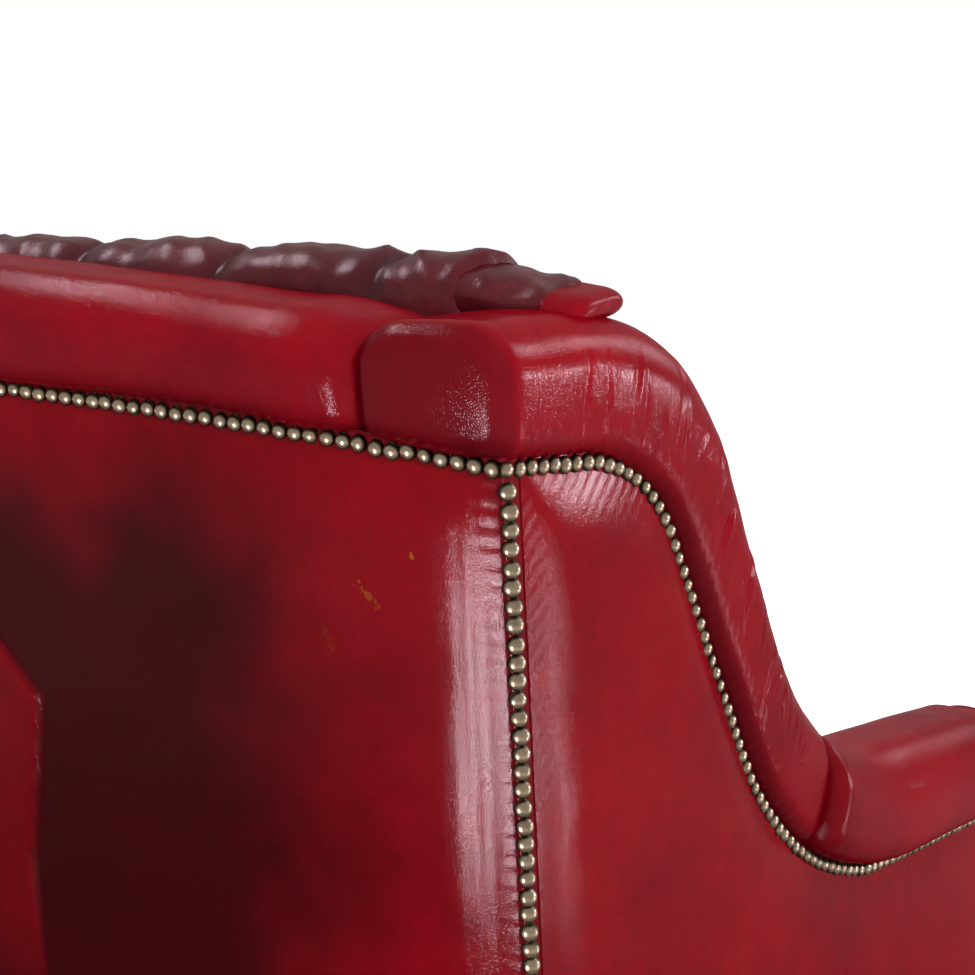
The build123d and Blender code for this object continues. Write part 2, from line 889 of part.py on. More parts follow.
# Legs, glides and the dust cover between them
leg_height = rail_bottom - glide_height
leg_centre = panel_thickness + leg_top / 2
rear_leg_forward = rear_edge(rail_bottom, panel_thickness) + leg_top / 2
front_leg_left = side_plan(side_depth - leg_top / 2, leg_centre, glide_height)
rear_leg_left = side_plan(rear_leg_forward, leg_centre, glide_height)
front_leg_centre = Plane(
    origin=(0, front_rail_front + leg_top / 2, glide_height),
    x_dir=(0, -1, 0),
    z_dir=(0, 0, 1),
)
rear_leg_centre = Plane(
    origin=(0, back_y(rail_bottom, panel_thickness) - leg_top / 2, glide_height),
    x_dir=(0, -1, 0),
    z_dir=(0, 0, 1),
)


def cabriole_leg(place, knee):
    # A leg whose knee swells towards a direction in its own plan, over a round pad foot.
    with BuildPart() as leg:
        for height_share, width_share, reach_share in front_leg_shares:
            width = leg_top * width_share
            swell = knee * leg_top * reach_share
            with BuildSketch(place.offset(leg_height * height_share)):
                with Locations((swell.X, swell.Y)):
                    RectangleRounded(width, width, leg_corner)
        loft()
        with BuildSketch(place):
            with Locations((0, 0)):
                Circle(pad_foot_radius)
        extrude(amount=pad_foot_height)
        foot_edges = edges().filter_by(GeomType.CIRCLE).sort_by(SortBy.RADIUS)[-2:]
        fillet(foot_edges.sort_by(Axis.Z)[0], pad_foot_edge)
        fillet(foot_edges.sort_by(Axis.Z)[-1], pad_foot_edge)
    return leg


def raked_leg(place):
    # A square leg that tapers and leans rearwards.
    with BuildPart() as leg:
        with BuildSketch(place.offset(leg_height)):
            Rectangle(leg_top, leg_top)
        with BuildSketch(place):
            with Locations((-rear_leg_splay, 0)):
                Rectangle(rear_leg_foot, rear_leg_foot)
        loft()
    return leg


def glide_at(place):
    return Location(place.offset(-glide_height).origin)


diagonal = Vector(1, -1).normalized()
front_corner_leg = cabriole_leg(front_leg_left, diagonal)
write_pair(front_corner_leg, "front_leg")
front_middle_leg = cabriole_leg(front_leg_centre, Vector(1, 0))
write(front_middle_leg, "front_leg_centre")
rear_corner_leg = raked_leg(rear_leg_left)
write_pair(rear_corner_leg, "rear_leg")
rear_middle_leg = raked_leg(rear_leg_centre)
write(rear_middle_leg, "rear_leg_centre")

rear_foot_left = Plane(
    origin=rear_leg_left.from_local_coords((-rear_leg_splay, 0, 0)),
    x_dir=rear_leg_left.x_dir,
    z_dir=(0, 0, 1),
)
rear_foot_centre = Plane(
    origin=rear_leg_centre.from_local_coords((-rear_leg_splay, 0, 0)),
    x_dir=rear_leg_centre.x_dir,
    z_dir=(0, 0, 1),
)
with BuildPart() as glides:
    with Locations(glide_at(front_leg_left), glide_at(rear_foot_left)):
        Cylinder(glide_radius, glide_height, align=(Align.CENTER, Align.CENTER, Align.MIN))
    mirror(about=Plane.YZ)
    with Locations(glide_at(front_leg_centre), glide_at(rear_foot_centre)):
        Cylinder(glide_radius, glide_height, align=(Align.CENTER, Align.CENTER, Align.MIN))
write(glides, "glides")

with BuildPart() as dust_cover:
    box_between(
        (-very_wide, 0),
        (front_rail_front + dust_cover_border, back_y(rail_bottom, panel_thickness) - dust_cover_border),
        (webbing_bottom - dust_cover_thickness, webbing_bottom),
    )
    between_sides(panel_thickness + dust_cover_border)
    for place in (front_leg_left, rear_leg_left, front_leg_centre, rear_leg_centre):
        with BuildSketch(place):
            Rectangle(leg_top + 2 * dust_cover_gap, leg_top + 2 * dust_cover_gap)
        extrude(amount=leg_height, mode=Mode.SUBTRACT)
    mirror(about=Plane.YZ)
write(dust_cover, "dust_cover")

# One domed nail, then rows of it at the nail pitch
dome_radius = (nail_radius**2 + nail_height**2) / (2 * nail_height)
with BuildPart() as nail:
    with Locations((0, 0, nail_height - dome_radius)):
        Sphere(dome_radius)
    split(bisect_by=Plane.XY, keep=Keep.TOP)
    Cylinder(nail_shank_radius, nail_shank_length, align=(Align.CENTER, Align.CENTER, Align.MAX))

rear_face = Plane(origin=back.origin, x_dir=(-1, 0, 0), z_dir=-back.z_dir)
arm_front_face = arm_front.offset(facing_thickness)
border_face = Plane(origin=(0, border_front, 0), x_dir=(1, 0, 0), z_dir=(0, -1, 0))
base_height = rail_bottom + base_nail_rise


def spaced(line, plane):
    # Places along a line in a plane, one nail pitch apart.
    wire = line.wire()
    count = int(wire.length / nail_pitch)
    points = [wire.position_at(index * nail_pitch / wire.length) for index in range(count + 1)]
    return [plane.location * Location((p.X, p.Y, 0)) for p in points]


def nail_row(places):
    with BuildPart() as row:
        add([nail.part.moved(place) for place in places])
    return row


row_end = corner_half_width - nail_radius
with BuildLine() as back_line:
    ThreePointArc((-row_end, -nail_row_drop), (0, crest_rise - nail_row_drop), (row_end, -nail_row_drop))
nails_back = nail_row(spaced(back_line, rear_face))
write(nails_back, "nails_back")

first_forward = rear_edge(corner_height, panel_thickness) + nail_radius
side_line_route = moved(nail_route, -nail_row_drop)
with BuildLine() as side_line:
    FilletPolyline(
        (first_forward, side_line_route[0][1]),
        *side_line_route[1:-1],
        (side_depth - nail_radius, side_line_route[-1][1]),
        radius=[wing_turn_radius - nail_row_drop, arm_turn_radius + nail_row_drop],
    )
nails_side = nail_row(spaced(side_line, outside))
write_pair(nails_side, "nails_side")

corner_bottom = base_height + nail_pitch
with BuildLine() as corner_line:
    Line(
        (rear_edge(corner_bottom, panel_thickness) + nail_radius, corner_bottom),
        (
            rear_edge(corner_height - nail_pitch, panel_thickness) + nail_radius,
            corner_height - nail_pitch - nail_row_drop,
        ),
    )
nails_corner = nail_row(spaced(corner_line, outside))
write_pair(nails_corner, "nails_corner")

facing_row_radius = facing_radius - facing_nail_inset
facing_row_foot = facing_circle_height - (
    facing_row_radius**2 - (facing_middle - facing_nail_inset) ** 2
) ** (1 / 2)
with BuildLine() as facing_line:
    Line((facing_nail_inset, base_height), (facing_nail_inset, facing_row_foot))
    ThreePointArc(
        (facing_nail_inset, facing_row_foot),
        (facing_middle, facing_circle_height + facing_row_radius),
        (facing_middle + facing_row_radius, facing_circle_height),
    )
    Line(
        (facing_middle + facing_row_radius, facing_circle_height),
        (facing_middle + facing_row_radius, base_height),
    )
nails_facing = nail_row(spaced(facing_line, arm_front_face))
write_pair(nails_facing, "nails_facing")

border_row_end = half_width(border_front, inner_face) - nail_radius
with BuildLine() as border_line:
    Line((-border_row_end, base_height), (border_row_end, base_height))
back_row_end = half_width(back_y(base_height), 0) - nail_radius
with BuildLine() as back_base_line:
    Line((-back_row_end, along_rake(base_height)), (back_row_end, along_rake(base_height)))
with BuildLine() as side_base_line:
    Line(
        (rear_edge(base_height, panel_thickness) + nail_radius, base_height),
        (side_depth - nail_radius, base_height),
    )
nails_base_side = nail_row(spaced(side_base_line, outside))
with BuildPart() as nails_base:
    add(nails_base_side.part)
    mirror(about=Plane.YZ)
    add([nail.part.moved(place) for place in spaced(border_line, border_face)])
    add([nail.part.moved(place) for place in spaced(back_base_line, rear_face)])
write(nails_base, "nails_base")
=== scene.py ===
import json
import math
import random

import bmesh
import bpy
from mathutils import Matrix, Vector, noise
from mathutils.bvhtree import BVHTree
from mathutils.kdtree import KDTree


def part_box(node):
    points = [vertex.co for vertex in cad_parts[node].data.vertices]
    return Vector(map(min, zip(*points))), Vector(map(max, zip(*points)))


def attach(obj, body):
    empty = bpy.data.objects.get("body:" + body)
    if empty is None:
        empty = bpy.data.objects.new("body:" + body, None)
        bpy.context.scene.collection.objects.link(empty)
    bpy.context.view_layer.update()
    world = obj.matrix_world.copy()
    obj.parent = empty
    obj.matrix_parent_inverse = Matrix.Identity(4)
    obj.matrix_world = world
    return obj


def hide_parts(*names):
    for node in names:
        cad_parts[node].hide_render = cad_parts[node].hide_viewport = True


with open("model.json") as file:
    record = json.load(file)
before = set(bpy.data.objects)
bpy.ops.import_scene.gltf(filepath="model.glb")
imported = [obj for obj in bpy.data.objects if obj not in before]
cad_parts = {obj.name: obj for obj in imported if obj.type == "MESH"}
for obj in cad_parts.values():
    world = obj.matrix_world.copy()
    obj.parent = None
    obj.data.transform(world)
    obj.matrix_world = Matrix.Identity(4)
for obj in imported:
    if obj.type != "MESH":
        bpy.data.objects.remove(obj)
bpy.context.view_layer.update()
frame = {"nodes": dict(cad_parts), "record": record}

# The sofa's own shape, in metres: each side is drawn forwards from its rear corner nail
sofa = {
    "cornerHalfWidth": 0.680,
    "cornerY": 0.39498,
    "cornerHeight": 0.946,
    "crestRise": 0.034,
    "rake": math.radians(4.5),
    "flare": math.radians(9),
    "sideDepth": 0.790,
    "railBottom": 0.190,
    "wingThickness": 0.096,
    "nailRoute": [(0, 0.946), (0.156, 0.936), (0.375, 0.546), (0.790, 0.513)],
    "nailRadii": [0.131, 0.331],
    "crownRoute": [(0, 1.032), (0.209, 1.030), (0.402, 0.648), (0.790, 0.606)],
    "crownRadii": [0.175, 0.290],
    "seamForward": 0.424,
    "seamHeight": 0.658,
    "seamLean": math.radians(21),
    "underRoll": 0.0058,
    "sideStart": 0.006,  # how deep behind the back's face the side panels start
    "innerFace": 0.0905,
    "innerWall": 0.0975,
}
cosRake, sinRake = math.cos(sofa["rake"]), math.sin(sofa["rake"])
cosFlare, sinFlare = math.cos(sofa["flare"]), math.sin(sofa["flare"])


def sidePoint(side, forward, height, out):
    # side is -1 for the left and 1 for the right
    x = sofa["cornerHalfWidth"] + forward * sinFlare + out * cosFlare
    return Vector((side * x, sofa["cornerY"] - forward * cosFlare + out * sinFlare, height))


def backPoint(x, up, deep):
    return Vector(
        (
            x,
            sofa["cornerY"] + up * sinRake - deep * cosRake,
            sofa["cornerHeight"] + up * cosRake + deep * sinRake,
        )
    )


def alongRake(height):
    return (height - sofa["cornerHeight"]) / cosRake


def crestArc(x):
    return sofa["crestRise"] * (1 - (x / sofa["cornerHalfWidth"]) ** 2)


def rearEdge(height, deep=0.0):
    return ((sofa["cornerHeight"] - height) * math.tan(sofa["rake"]) + deep / cosRake) / cosFlare


def halfWidthAt(y, inset):
    return sofa["cornerHalfWidth"] - inset / cosFlare + (sofa["cornerY"] - y) * math.tan(sofa["flare"])


def smooth(low, high, value):
    share = min(max((value - low) / (high - low), 0.0), 1.0)
    return share * share * (3 - 2 * share)


def mix(a, b, share):
    return a + (b - a) * share


def nearestEdge(*distances):
    # The smallest distance, eased where two edges meet at a corner
    if min(distances) <= 0.0005:
        return min(distances)
    return sum(distance**-3 for distance in distances) ** (-1 / 3)


def lump(point, size, seed=0.0):
    # Soft noise from -1 to 1 with lumps of about that size
    return noise.noise(point / size + Vector((seed, 1.7 * seed, 0.6 * seed)))


def unevenness(point, lumps):
    # lumps: the height, size and seed of each layer of soft noise
    return sum(height * lump(point, size, seed) for height, size, seed in lumps)


def fading(distance, reach):
    return math.exp(-max(distance, 0.0) / reach)


def risen(distance, fall, power=1.0):
    # How much of its full height a stuffed panel has at a distance from its edge
    return 1 - math.exp(-((max(distance, 0.0) / fall) ** power))


def wave(distance, pitch):
    return 0.5 + 0.5 * math.cos(2 * math.pi * distance / pitch)


def lastWhere(test, low, high, steps):
    # The last value of a range for which a test still holds, by halving
    for step in range(steps):
        middle = (low + high) / 2
        if test(middle):
            low = middle
        else:
            high = middle
    return low


def cornerArc(before, corner, after, radius, count=None, step=0.002):
    corner = Vector(corner)
    back, ahead = (Vector(before) - corner).normalized(), (Vector(after) - corner).normalized()
    half = back.angle(ahead) / 2
    start, end = corner + back * radius / math.tan(half), corner + ahead * radius / math.tan(half)
    middle = corner + (back + ahead).normalized() * radius / math.sin(half)
    turn = math.pi - 2 * half
    first, last = start - middle, end - middle
    sign = 1 if first.x * last.y - first.y * last.x > 0 else -1
    count = count or max(int(turn * radius / step), 4)
    return [middle + Matrix.Rotation(sign * turn * index / count, 2) @ first for index in range(count + 1)]


# Routes: straight runs joined by arcs, as points with their distance along
def roundedRoute(corners, radii):
    points = [Vector(corners[0])]
    for before, corner, after, radius in zip(corners, corners[1:], corners[2:], radii):
        points += cornerArc(before, corner, after, radius)
    return points + [Vector(corners[-1])]


class Route:
    # A line of points that is read by distance
    def __init__(self, points):
        self.points = points
        self.distances = [0.0]
        for a, b in zip(points, points[1:]):
            self.distances.append(self.distances[-1] + (b - a).length)
        self.length = self.distances[-1]

    def at(self, distance):
        distance = min(max(distance, 0.0), self.length)
        low, high = 0, len(self.points) - 1
        while high - low > 1:
            middle = (low + high) // 2
            if self.distances[middle] <= distance:
                low = middle
            else:
                high = middle
        span = self.distances[high] - self.distances[low]
        share = (distance - self.distances[low]) / span if span else 0.0
        return self.points[low].lerp(self.points[high], share)

    def heading(self, distance, reach=0.003):
        return (self.at(distance + reach) - self.at(distance - reach)).normalized()

    def crossing(self, test):
        # The first distance at which a test of the point turns true
        for point, distance in zip(self.points, self.distances):
            if test(point):
                return distance
        return self.length


def shifted(corners, amount):
    # Corners of a route with every run moved to its left
    units = [(Vector(b) - Vector(a)).normalized() for a, b in zip(corners, corners[1:])]
    lefts = [Vector((-u.y, u.x)) for u in units]
    moved = [Vector(corners[0]) + lefts[0] * amount]
    for corner, before, after in zip(corners[1:-1], lefts, lefts[1:]):
        moved.append(Vector(corner) + (before + after) * amount / (1 + before.dot(after)))
    moved.append(Vector(corners[-1]) + lefts[-1] * amount)
    return moved


radii = sofa["nailRadii"]
rollFoot = Route(
    roundedRoute(
        shifted(sofa["nailRoute"], sofa["underRoll"]),
        [radii[0] + sofa["underRoll"], radii[1] - sofa["underRoll"]],
    )
)
crownRun = Route(roundedRoute(sofa["crownRoute"], sofa["crownRadii"]))


def seamAt(height):
    return sofa["seamForward"] + (height - sofa["seamHeight"]) * math.tan(sofa["seamLean"])


def pastSeam(point):
    return point.x > seamAt(point.y)


footSeam = rollFoot.crossing(pastSeam)
crownSeam = crownRun.crossing(pastSeam)


def panelTop(forward):
    # The height of a side panel's upper edge
    distance = lastWhere(lambda along: rollFoot.at(along).x < forward, 0.0, rollFoot.length, 24)
    return rollFoot.at(distance).y


# Outlines of padded sections, as places outwards and upwards from their middle
def softOutline(width, height, corners, count, bow=0.0):
    # corners: the radius at the lower outer corner, then upwards and round
    signs = [(1, -1), (1, 1), (-1, 1), (-1, -1)]
    line = []
    for (signX, signY), radius, start in zip(signs, corners, (-90, 0, 90, 180)):
        middle = Vector((signX * (width / 2 - radius), signY * (height / 2 - radius)))
        for step in range(13):
            angle = math.radians(start + 90 * step / 12)
            line.append(middle + Vector((math.cos(angle), math.sin(angle))) * radius)
    loop = Route(line + [line[0]])
    even = [loop.at(loop.length * index / count) for index in range(count)]
    for again in range(2):
        even = [
            (even[index - 1] + even[index] * 2 + even[(index + 1) % count]) / 4 for index in range(count)
        ]
    bowed = []
    for point in even:
        x = point.x * (1 + 2 * bow / width * (1 - (2 * point.y / height) ** 2))
        y = point.y * (1 + 2 * bow / height * (1 - (2 * point.x / width) ** 2))
        bowed.append(Vector((x, y)))
    return bowed


capShares = (1.0, 0.72, 0.45, 0.2)  # how far the rings of a roll's flat end are drawn together


def spreadAlong(length, step, rounding):
    # Rings along a padded roll: distance, and how far the section is drawn in there
    rings = []
    for radius, flip in ((rounding[0], False), (rounding[1], True)):
        cap = [(0.0, ("flat", share, radius)) for share in capShares]
        count = max(int(radius * 1.57 / step), 4)
        for index in range(count + 1):
            angle = math.pi / 2 * index / count
            cap.append((radius * (1 - math.cos(angle)), ("round", 0.0, radius * (1 - math.sin(angle)))))
        if flip:
            cap = [(length - distance, draw) for distance, draw in reversed(cap)]
        rings.append(cap)
    start, end = rings[0][-1][0], rings[1][0][0]
    count = max(int((end - start) / step), 1)
    body = [(mix(start, end, index / count), ("round", 0.0, 0.0)) for index in range(1, count)]
    return rings[0] + body + rings[1]


def drawnIn(point, draw, halfOut, halfUp, middle):
    kind, share, inset = draw
    away = point - middle
    x = away.x * (1 - inset / halfOut)
    y = away.y * (1 - inset / halfUp)
    if kind == "flat":
        x, y = x * (1 - share), y * (1 - share)
    return middle.x + x, middle.y + y


def sweptSkin(outline, rings, place, relief):
    # A closed padded skin: the outline carried along the rings and closed at both ends
    columns, rows = len(outline), len(rings) - 1
    lowX, highX = min(p.x for p in outline), max(p.x for p in outline)
    lowY, highY = min(p.y for p in outline), max(p.y for p in outline)
    middle = Vector(((highX + lowX) / 2, (highY + lowY) / 2))
    girth = [0.0]
    for a, b in zip(outline, outline[1:] + outline[:1]):
        girth.append(girth[-1] + (b - a).length)
    skin = bmesh.new()
    bmesh.ops.create_grid(skin, x_segments=columns, y_segments=rows, size=0.5)
    layers = [skin.verts.layers.float.new(name) for name in ("alongRoll", "outRoll", "upRoll")]
    hideMap = skin.loops.layers.uv.new("hideMap")
    spots = {}
    for vert in skin.verts:
        column = round((vert.co.x + 0.5) * columns)
        distance, draw = rings[round((vert.co.y + 0.5) * rows)]
        x, y = drawnIn(outline[column % columns], draw, (highX - lowX) / 2, (highY - lowY) / 2, middle)
        vert[layers[0]], vert[layers[1]], vert[layers[2]] = distance, x, y
        spots[vert.index] = (distance, girth[column])
        vert.co = place(distance, x, y)
    for face in skin.faces:
        for loop in face.loops:
            loop[hideMap].uv = spots[loop.vert.index]
    bmesh.ops.remove_doubles(skin, verts=skin.verts, dist=0.00002)
    bmesh.ops.recalc_face_normals(skin, faces=skin.faces)
    applyRelief(skin, layers, relief)
    return skin


def wearAndShadeLayers(skin):
    return [skin.verts.layers.float.new(name) for name in ("paintedShade", "strain", "worn")]


def applyRelief(skin, layers, relief):
    # Pushes each point along its normal and notes its painted shade, strain and wear
    wearAndShade = wearAndShadeLayers(skin)
    skin.normal_update()
    moves = []
    for vert in skin.verts:
        offset, *marks = relief(vert.co, vert.normal, *[vert[layer] for layer in layers])
        moves.append((vert, vert.normal * offset))
        for layer, mark in zip(wearAndShade, marks):
            vert[layer] = mark
    for vert, move in moves:
        vert.co += move
    skin.normal_update()


def panelSkin(columns, rows, place, outwards, relief, depth):
    # An open padded panel with its edges turned in and its hidden side closed flat
    skin = bmesh.new()
    bmesh.ops.create_grid(skin, x_segments=columns, y_segments=rows, size=0.5)
    layers = [skin.verts.layers.float.new(name) for name in ("acrossPanel", "upPanel", "edgePanel")]
    hideMap = skin.loops.layers.uv.new("hideMap")
    for vert in skin.verts:
        across, up = vert.co.x + 0.5, vert.co.y + 0.5
        vert.co, edge = place(across, up)
        vert[layers[0]], vert[layers[1]], vert[layers[2]] = across, up, edge
    for face in skin.faces:
        for loop in face.loops:
            loop[hideMap].uv = (loop.vert[layers[0]], loop.vert[layers[1]])
    skin.normal_update()
    total = sum((face.normal * face.calc_area() for face in skin.faces), Vector())
    if total.dot(outwards) < 0:
        bmesh.ops.reverse_faces(skin, faces=skin.faces)
    applyRelief(skin, layers, relief)
    rim = [edge for edge in skin.edges if edge.is_boundary]
    turned = bmesh.ops.extrude_edge_only(skin, edges=rim)["geom"]
    corners = [item for item in turned if isinstance(item, bmesh.types.BMVert)]
    bmesh.ops.translate(skin, verts=corners, vec=outwards * -depth)
    rear = [item for item in turned if isinstance(item, bmesh.types.BMEdge)]
    bmesh.ops.holes_fill(skin, edges=[edge for edge in rear if edge.is_boundary], sides=0)
    bmesh.ops.recalc_face_normals(skin, faces=skin.faces)
    return skin


def meshOf(name, skin):
    mesh = bpy.data.meshes.new(name)
    skin.to_mesh(mesh)
    skin.free()
    return mesh


def linkedObject(name, data):
    made = bpy.data.objects.new(name, data)
    bpy.context.scene.collection.objects.link(made)
    return made


slotOf = {row["node"]: row["material_slot"] for row in frame["record"]["subparts"]}


def madePiece(name, skin, body="sofa", slot=None, material=None, smoothAll=True):
    # a piece that stands for a solid has that solid's name, in camelCase
    node = "".join("_" + letter.lower() if letter.isupper() else letter for letter in name)
    slot = slot or slotOf[node]
    mesh = meshOf(name, skin)
    if smoothAll:
        mesh.polygons.foreach_set("use_smooth", [True] * len(mesh.polygons))
    piece = linkedObject(name, mesh)
    mesh.materials.append(material or slotMaterials[slot])
    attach(piece, body)
    if node in frame["nodes"]:
        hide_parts(node)
    print(f"made {name}: {len(mesh.polygons)} faces")
    return piece


# Shader building
def addNode(tree, kind, **settings):
    node = tree.nodes.new(kind)
    for key, value in settings.items():
        if key.startswith("in_"):
            node.inputs[key[3:].replace("_", " ")].default_value = value
        else:
            setattr(node, key, value)
    return node


def ramp(tree, source, stops, interpolation="LINEAR"):
    node = tree.nodes.new("ShaderNodeValToRGB")
    node.color_ramp.interpolation = interpolation
    while len(node.color_ramp.elements) < len(stops):
        node.color_ramp.elements.new(0.5)
    for element, (position, level) in zip(node.color_ramp.elements, stops):
        element.position = position
        element.color = (*level, 1) if isinstance(level, tuple) else (level, level, level, 1)
    tree.links.new(source, node.inputs["Fac"])
    return node.outputs["Color"]


def maths(tree, operation, first, second=None, clamp=False):
    node = tree.nodes.new("ShaderNodeMath")
    node.operation = operation
    node.use_clamp = clamp
    for index, value in enumerate((first, second)):
        if value is None:
            continue
        if isinstance(value, (int, float)):
            node.inputs[index].default_value = value
        else:
            tree.links.new(value, node.inputs[index])
    return node.outputs[0]


def mixColours(tree, share, first, second):
    node = tree.nodes.new("ShaderNodeMix")
    node.data_type = "RGBA"
    for index, value in ((0, share), (6, first), (7, second)):
        if isinstance(value, (int, float)):
            node.inputs[index].default_value = value
        elif isinstance(value, tuple):
            node.inputs[index].default_value = (*value, 1)
        else:
            tree.links.new(value, node.inputs[index])
    return node.outputs[2]


def noiseAt(tree, vector, scale, detail=2.0, roughness=0.5, distortion=0.0):
    node = addNode(
        tree,
        "ShaderNodeTexNoise",
        in_Scale=scale,
        in_Detail=detail,
        in_Roughness=roughness,
        in_Distortion=distortion,
    )
    tree.links.new(vector, node.inputs["Vector"])
    return node.outputs["Fac"]


def newGroup(name, inputs, outputs):
    group = bpy.data.node_groups.new(name, "ShaderNodeTree")
    for label, kind, value in inputs:
        socket = group.interface.new_socket(name=label, in_out="INPUT", socket_type=kind)
        socket.default_value = value
    for label, kind in outputs:
        group.interface.new_socket(name=label, in_out="OUTPUT", socket_type=kind)
    return group, group.nodes.new("NodeGroupInput"), group.nodes.new("NodeGroupOutput")


def weighed(tree, *parts):
    # The sum of values, each times its weight
    total = None
    for value, weight in parts:
        scaled = value if weight == 1 else maths(tree, "MULTIPLY", value, weight)
        total = scaled if total is None else maths(tree, "ADD", total, scaled)
    return total


def objectPlace(tree):
    return addNode(tree, "ShaderNodeTexCoord").outputs["Object"]


def wearAndShadeMask(tree, name):
    return addNode(tree, "ShaderNodeAttribute", attribute_name=name).outputs["Fac"]


def newMaterial(name):
    material = bpy.data.materials.new(name)
    material.use_nodes = True
    return material, material.node_tree, material.node_tree.nodes["Principled BSDF"]


def bumped(tree, height, strength, distance, *sockets):
    bump = addNode(tree, "ShaderNodeBump", in_Strength=strength, in_Distance=distance)
    tree.links.new(height, bump.inputs["Height"])
    for socket in sockets:
        tree.links.new(bump.outputs["Normal"], socket)


def buildHideGroup():
    # Aniline hide: cloudy dye, painted shade in creases, rubbed patches, pebbled grain and stretch marks
    group, given, result = newGroup(
        "hideFinish",
        [
            ("Dye", "NodeSocketColor", (0.3, 0.01, 0.02, 1)),
            ("Dark Dye And Shade", "NodeSocketColor", (0.1, 0.0, 0.01, 1)),
            ("Rubbed", "NodeSocketColor", (0.4, 0.1, 0.05, 1)),
            ("Cloudiness", "NodeSocketFloat", 0.5),
            ("Rubbing", "NodeSocketFloat", 0.2),
        ],
        [
            ("Colour", "NodeSocketColor"),
            ("Roughness", "NodeSocketFloat"),
            ("Height", "NodeSocketFloat"),
        ],
    )
    dye, darkDyeAndShade = given.outputs["Dye"], given.outputs["Dark Dye And Shade"]
    where = objectPlace(group)
    hideMap = addNode(group, "ShaderNodeUVMap", uv_map="hideMap").outputs["UV"]
    paintedShade, strain, worn = (wearAndShadeMask(group, name) for name in ("paintedShade", "strain", "worn"))
    clouds = noiseAt(group, where, 5.5, 3.0, 0.55)
    mottle = noiseAt(group, where, 34.0, 5.0, 0.62)
    cloudy = ramp(group, weighed(group, (clouds, 0.7), (mottle, 0.3)), [(0.36, 1.0), (0.62, 0.0)])
    hideColour = mixColours(group, maths(group, "MULTIPLY", cloudy, given.outputs["Cloudiness"]), dye, darkDyeAndShade)
    rubMask = ramp(group, noiseAt(group, where, 16.0, 6.0, 0.7, 0.3), [(0.52, 0.0), (0.72, 1.0)])
    rubbed = maths(group, "ADD", given.outputs["Rubbing"], worn)
    rubMask = maths(group, "MULTIPLY", rubMask, rubbed, clamp=True)
    hideColour = mixColours(group, rubMask, hideColour, given.outputs["Rubbed"])
    specks = ramp(group, noiseAt(group, where, 210.0, 3.0, 0.6), [(0.35, 0.12), (0.55, 0.0)])
    # painted shade: the shade mask darkens the dye in folds, pits, seams, along edges and on faces turned
    # from the light
    for mask in (specks, paintedShade):
        hideColour = mixColours(group, mask, hideColour, darkDyeAndShade)
    group.links.new(hideColour, result.inputs["Colour"])

    streakMap = addNode(group, "ShaderNodeMapping", in_Scale=(420.0, 22.0, 1.0))
    group.links.new(hideMap, streakMap.inputs["Vector"])
    streaks = noiseAt(group, streakMap.outputs["Vector"], 1.0, 3.0, 0.55, 0.25)
    cells = addNode(group, "ShaderNodeTexVoronoi", feature="DISTANCE_TO_EDGE", in_Scale=620.0)
    group.links.new(where, cells.inputs["Vector"])
    pebble = ramp(group, cells.outputs["Distance"], [(0.0, 0.0), (0.32, 1.0)], "EASE")
    height = weighed(
        group,
        (pebble, 1),
        (noiseAt(group, where, 1500.0, 2.0), 0.35),
        (noiseAt(group, where, 60.0, 3.0, 0.5), 2.2),
        (maths(group, "MULTIPLY", streaks, strain), 6.0),
    )
    group.links.new(height, result.inputs["Height"])
    uneven = ramp(group, mottle, [(0.3, 0.0), (0.75, 1.0)])
    group.links.new(weighed(group, (uneven, 0.16), (0.25, 1), (paintedShade, 0.2)), result.inputs["Roughness"])
    return group


hideGroup = buildHideGroup()


def scuffed(tree, colour, mark):
    # A small scuff that shows the pale hide under the dye
    where = objectPlace(tree)
    markPlace = addNode(
        tree,
        "ShaderNodeMapping",
        vector_type="TEXTURE",
        in_Location=mark["place"],
        in_Rotation=(0.0, math.radians(mark["turn"]), 0.0),
        in_Scale=(mark["length"], 1.0, mark["width"]),
    )
    tree.links.new(where, markPlace.inputs["Vector"])
    flat = addNode(tree, "ShaderNodeVectorMath", operation="MULTIPLY")
    flat.inputs[1].default_value = (1.0, 0.0, 1.0)
    tree.links.new(markPlace.outputs["Vector"], flat.inputs[0])
    reach = addNode(tree, "ShaderNodeVectorMath", operation="LENGTH")
    tree.links.new(flat.outputs["Vector"], reach.inputs[0])
    edge = weighed(tree, (reach.outputs["Value"], 1), (noiseAt(tree, where, 190.0, 4.0, 0.7), 1.5))
    return mixColours(tree, ramp(tree, edge, [(0.86, mark["strength"]), (1.0, 0.0)]), colour, mark["colour"])


def leather(name, style):
    material, tree, shader = newMaterial(name)
    finish = tree.nodes.new("ShaderNodeGroup")
    finish.node_tree = hideGroup
    for label, key in (("Dye", "dye"), ("Dark Dye And Shade", "darkDyeAndShade"), ("Rubbed", "rubbed")):
        finish.inputs[label].default_value = (*style[key], 1)
    for label, key in (("Cloudiness", "cloudiness"), ("Rubbing", "rubbing")):
        finish.inputs[label].default_value = style[key]
    colour = finish.outputs["Colour"]
    for mark in style["scuffs"]:
        colour = scuffed(tree, colour, mark)
    tree.links.new(colour, shader.inputs["Base Color"])
    tree.links.new(finish.outputs["Roughness"], shader.inputs["Roughness"])
    # the gloss is all in the thin clear coat, so that the dye stays deep
    shader.inputs["Specular IOR Level"].default_value = 0.0
    shader.inputs["Coat Weight"].default_value = style["coat"]
    shader.inputs["Coat Roughness"].default_value = style["coatRoughness"]
    height = finish.outputs["Height"]
    bumped(tree, height, style["grain"], 0.0002, shader.inputs["Normal"], shader.inputs["Coat Normal"])
    return material


